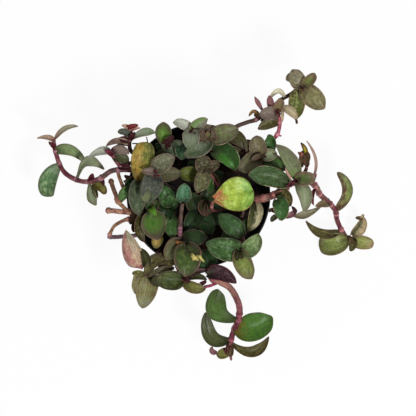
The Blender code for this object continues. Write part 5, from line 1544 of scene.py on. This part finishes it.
def pot_rings():
    """The pot's wall as (radius, height), from its floor up inside, over the lip and down to its foot."""
    band = POT_HEIGHT - RIM_BAND
    inner = RIM_RADIUS - WALL
    floor = wall_radius(FLOOR) - WALL
    return [
        # The rounded corner at the floor, the wall, and the step out to the band.
        (floor - 1.0, FLOOR), (floor, FLOOR + 0.8), (wall_radius(band) - WALL, band),
        (inner - 0.3, band + RIM_STEP), (inner, band + RIM_STEP + 0.6), (inner, POT_HEIGHT - 0.9),
        # The rounded lip, with a bead round its outside.
        (inner + 0.12, POT_HEIGHT - 0.35), (inner + 0.4, POT_HEIGHT), (RIM_RADIUS - 0.4, POT_HEIGHT),
        (RIM_RADIUS - 0.08, POT_HEIGHT - 0.3), (RIM_RADIUS, POT_HEIGHT - 0.8), (RIM_RADIUS, POT_HEIGHT - 2.2),
        # The band, a little within the bead, and its lower edge.
        (RIM_RADIUS - 0.35, POT_HEIGHT - 2.5), (RIM_RADIUS - 0.35, band + 2.4), (RIM_RADIUS, band + 2.1),
        (RIM_RADIUS, band + RIM_STEP + 0.1), (RIM_RADIUS - 0.5, band + RIM_STEP - 0.5),
        # The wall, stepped in below the band and out again above the foot.
        (wall_radius(band) + 0.1, band), (wall_radius(band - 4), band - 4),
        (wall_radius(band - 4.4) - 0.25, band - 4.4), (wall_radius(4.5) - 0.25, 4.5), (wall_radius(4.1), 4.1),
        # The foot, which stands on a ring.
        (wall_radius(0.9), 0.9), (BASE_RADIUS - 0.3, 0.2), (BASE_RADIUS - 1.0, 0.0), (BASE_RADIUS - 3.0, 0.0),
        (BASE_RADIUS - 3.6, 0.5),
    ]


def make_pot():
    """The nursery pot: thin wall, rim band with a rounded lip, low foot and drain holes."""
    pot = turn_up("pot_moulded", pot_rings(), POT_SIDES)
    nothing_selected()
    bpy.ops.mesh.primitive_cylinder_add(vertices=24, radius=DRAIN_DIAMETER / 2 * MM, depth=0.01)
    template = bpy.context.object
    drills = []
    for number in range(DRAIN_HOLES):
        angle = 2 * math.pi * (number + 0.5) / DRAIN_HOLES
        place = (DRAIN_CIRCLE * math.cos(angle) * MM, DRAIN_CIRCLE * math.sin(angle) * MM, FLOOR / 2 * MM)
        drill = copied(template, "drill")
        drill.data.transform(Matrix.Translation(place))
        drills.append(drill)
    removed(template)
    drill = joined(drills, "drills")
    cut = pot.modifiers.new("drain_holes", "BOOLEAN")
    cut.operation = "DIFFERENCE"
    cut.solver = "EXACT"
    cut.object = drill
    apply_all(pot)
    removed(drill)
    make_active(pot)
    bpy.ops.object.shade_smooth_by_angle(angle=POT_SMOOTHED)
    finished(pot, surface("black_pot", pot_plastic, 0.12, 0.0003, shine=0.25))
    hand_over(pot, "pot")


def soil_finish(name, dark, light, rough):
    """Crumbs of two colours with damp patches, which are darker and smoother."""

    def worked(tree):
        where = coordinates(tree, "Object")
        crumbs, damp = cloud(tree, where, *CRUMBS), cloud(tree, where, *DAMP)
        colour = crumbs.step(0.42, 0.72).between(dark, light)
        return damp.step(0.4, 0.7).between(colour, dark), rough - damp * 0.25, crumbs + damp

    return surface(name, worked, 0.7, 0.0008)


def bark_chip(template, number, chance):
    """A rough chip of bark, turned at random, that lies somewhere on the soil."""
    angle = chance.uniform(0, 2 * math.pi)
    reach = math.sqrt(chance.random()) * (soil_radius(SOIL_LEVEL) - SOIL_EDGE)
    x, y = reach * math.cos(angle), reach * math.sin(angle)
    size = chance.uniform(*CHIP_SIZES)
    turn = Matrix.Rotation(chance.uniform(0, 6.3), 3, "Z")
    turn = turn @ Matrix.Rotation(chance.uniform(-CHIP_TILT, CHIP_TILT), 3, "X")
    made = copied(template, "chip")
    for vertex in made.data.vertices:
        rough = 1 + CHIP_LUMPS * noise.noise(vertex.co * CHIP_LUMP_DENSITY + Vector((number, 0, 0)))
        shaped = Vector([length * size * share for length, share in zip(vertex.co, CHIP_SHAPE)]) * rough
        vertex.co = (Vector((x, y, soil_height(x, y) + CHIP_LIFT)) + turn @ shaped) * MM
    return made


def make_soil():
    """The root ball: a crumbly mound with bark chips lying in it."""
    top = soil_radius(SOIL_LEVEL)
    reaches = [SOIL_PIT] + [number / SOIL_RINGS * top for number in range(1, SOIL_RINGS + 1)]
    rings = [(reach, soil_height(reach, 0)) for reach in reaches]
    rings += [(soil_radius(level), level) for level in (SOIL_SHOULDER, FLOOR + 0.6)]
    soil = turn_up("soil_ball", rings, SOIL_SIDES)
    for vertex in soil.data.vertices:
        if vertex.co.z > (SOIL_LEVEL - 0.5) * MM:
            spot = vertex.co / MM
            lump = sum(noise.noise(spot * density) * height for density, height in SOIL_LUMPS)
            rim = min(max((top - spot.xy.length) / SOIL_EDGE, 0.0), 1.0)
            vertex.co.z += lump * rim * MM
    finished(soil, soil_finish("potting_soil", tint(16, 12, 10), tint(44, 33, 26), 0.95))
    make_active(soil)
    bpy.ops.object.shade_smooth()
    nothing_selected()
    bpy.ops.mesh.primitive_ico_sphere_add(subdivisions=2, radius=1)
    template = bpy.context.object
    finished(template, soil_finish("bark_chips", tint(38, 26, 19), tint(88, 62, 44), 0.9))
    chance = random.Random("chips")
    chips = [bark_chip(template, number, chance) for number in range(CHIPS)]
    removed(template)
    hand_over(joined([soil] + chips, "soil_grown"), "soil")


# ---------------------------------------------------------------- camera, light and floor


def seen_directly(tree):
    """1 for the rays that show a surface to the camera: straight, mirrored or through glass."""
    rays = put(tree, "ShaderNodeLightPath").outputs
    seen = Reading(rays["Is Camera Ray"])
    for way in ("Is Glossy Ray", "Is Transmission Ray"):
        seen = calc(tree, "ADD", seen, Reading(rays[way]), clamp=True)
    return seen


def make_floor():
    nothing_selected()
    bpy.ops.mesh.primitive_plane_add(size=3, location=(0, 0, 0))
    floor = bpy.context.object
    floor.name = "floor"
    bpy.ops.object.mode_set(mode="EDIT")
    bpy.ops.mesh.subdivide(number_cuts=4)
    bpy.ops.object.mode_set(mode="OBJECT")
    paper = bpy.data.materials.new("white_floor")
    paper.use_nodes = True
    tree = paper.node_tree
    tree.nodes.remove(tree.nodes["Principled BSDF"])
    matt = read(tree, "ShaderNodeBsdfDiffuse", {"Color": PAPER})
    glow = read(tree, "ShaderNodeEmission", {"Color": WHITE})
    both = read(tree, "ShaderNodeMixShader", {0: seen_directly(tree) * PAPER_GLOW, 1: matt, 2: glow})
    feed(both, tree.nodes["Material Output"].inputs["Surface"])
    floor.data.materials.append(paper)


def light_room():
    """An even white room, brighter where it is seen than where it only gives light."""
    world = bpy.data.worlds.new("plain_room")
    bpy.context.scene.world = world
    world.use_nodes = True
    back = world.node_tree.nodes["Background"]
    feed(WHITE, back.inputs["Color"])
    feed(seen_directly(world.node_tree) * (1 - ROOM_LIGHT) + ROOM_LIGHT, back.inputs["Strength"])


def lamp(name, size, power, spot):
    """A soft round lamp that shines at the plant."""
    light = bpy.data.lights.new(name, "AREA")
    light.shape = "DISK"
    light.size = size
    light.energy = power
    holder = bpy.data.objects.new(name, light)
    bpy.context.collection.objects.link(holder)
    holder.location = spot
    holder.rotation_euler = (Vector(LAMP_AIM) - Vector(spot)).to_track_quat("-Z", "Y").to_euler()


def camera():
    view = bpy.data.cameras.new("camera")
    holder = bpy.data.objects.new("camera", view)
    bpy.context.collection.objects.link(holder)
    holder.location = CAMERA_AT
    view.sensor_width = SENSOR
    view.lens = SENSOR * (CAMERA_AT[2] - POT_HEIGHT * MM) / VIEW_WIDTH
    view.clip_start = 0.05
    bpy.context.scene.camera = holder


bpy.context.scene.view_settings.view_transform = "Standard"
camera()
make_pot()
make_soil()
make_plant()
make_floor()
light_room()
lamp("soft_key", size=0.36, power=20.0, spot=(0.5, -0.6, 1.5))
lamp("soft_fill", size=1.2, power=3.2, spot=(-0.9, 0.5, 1.3))
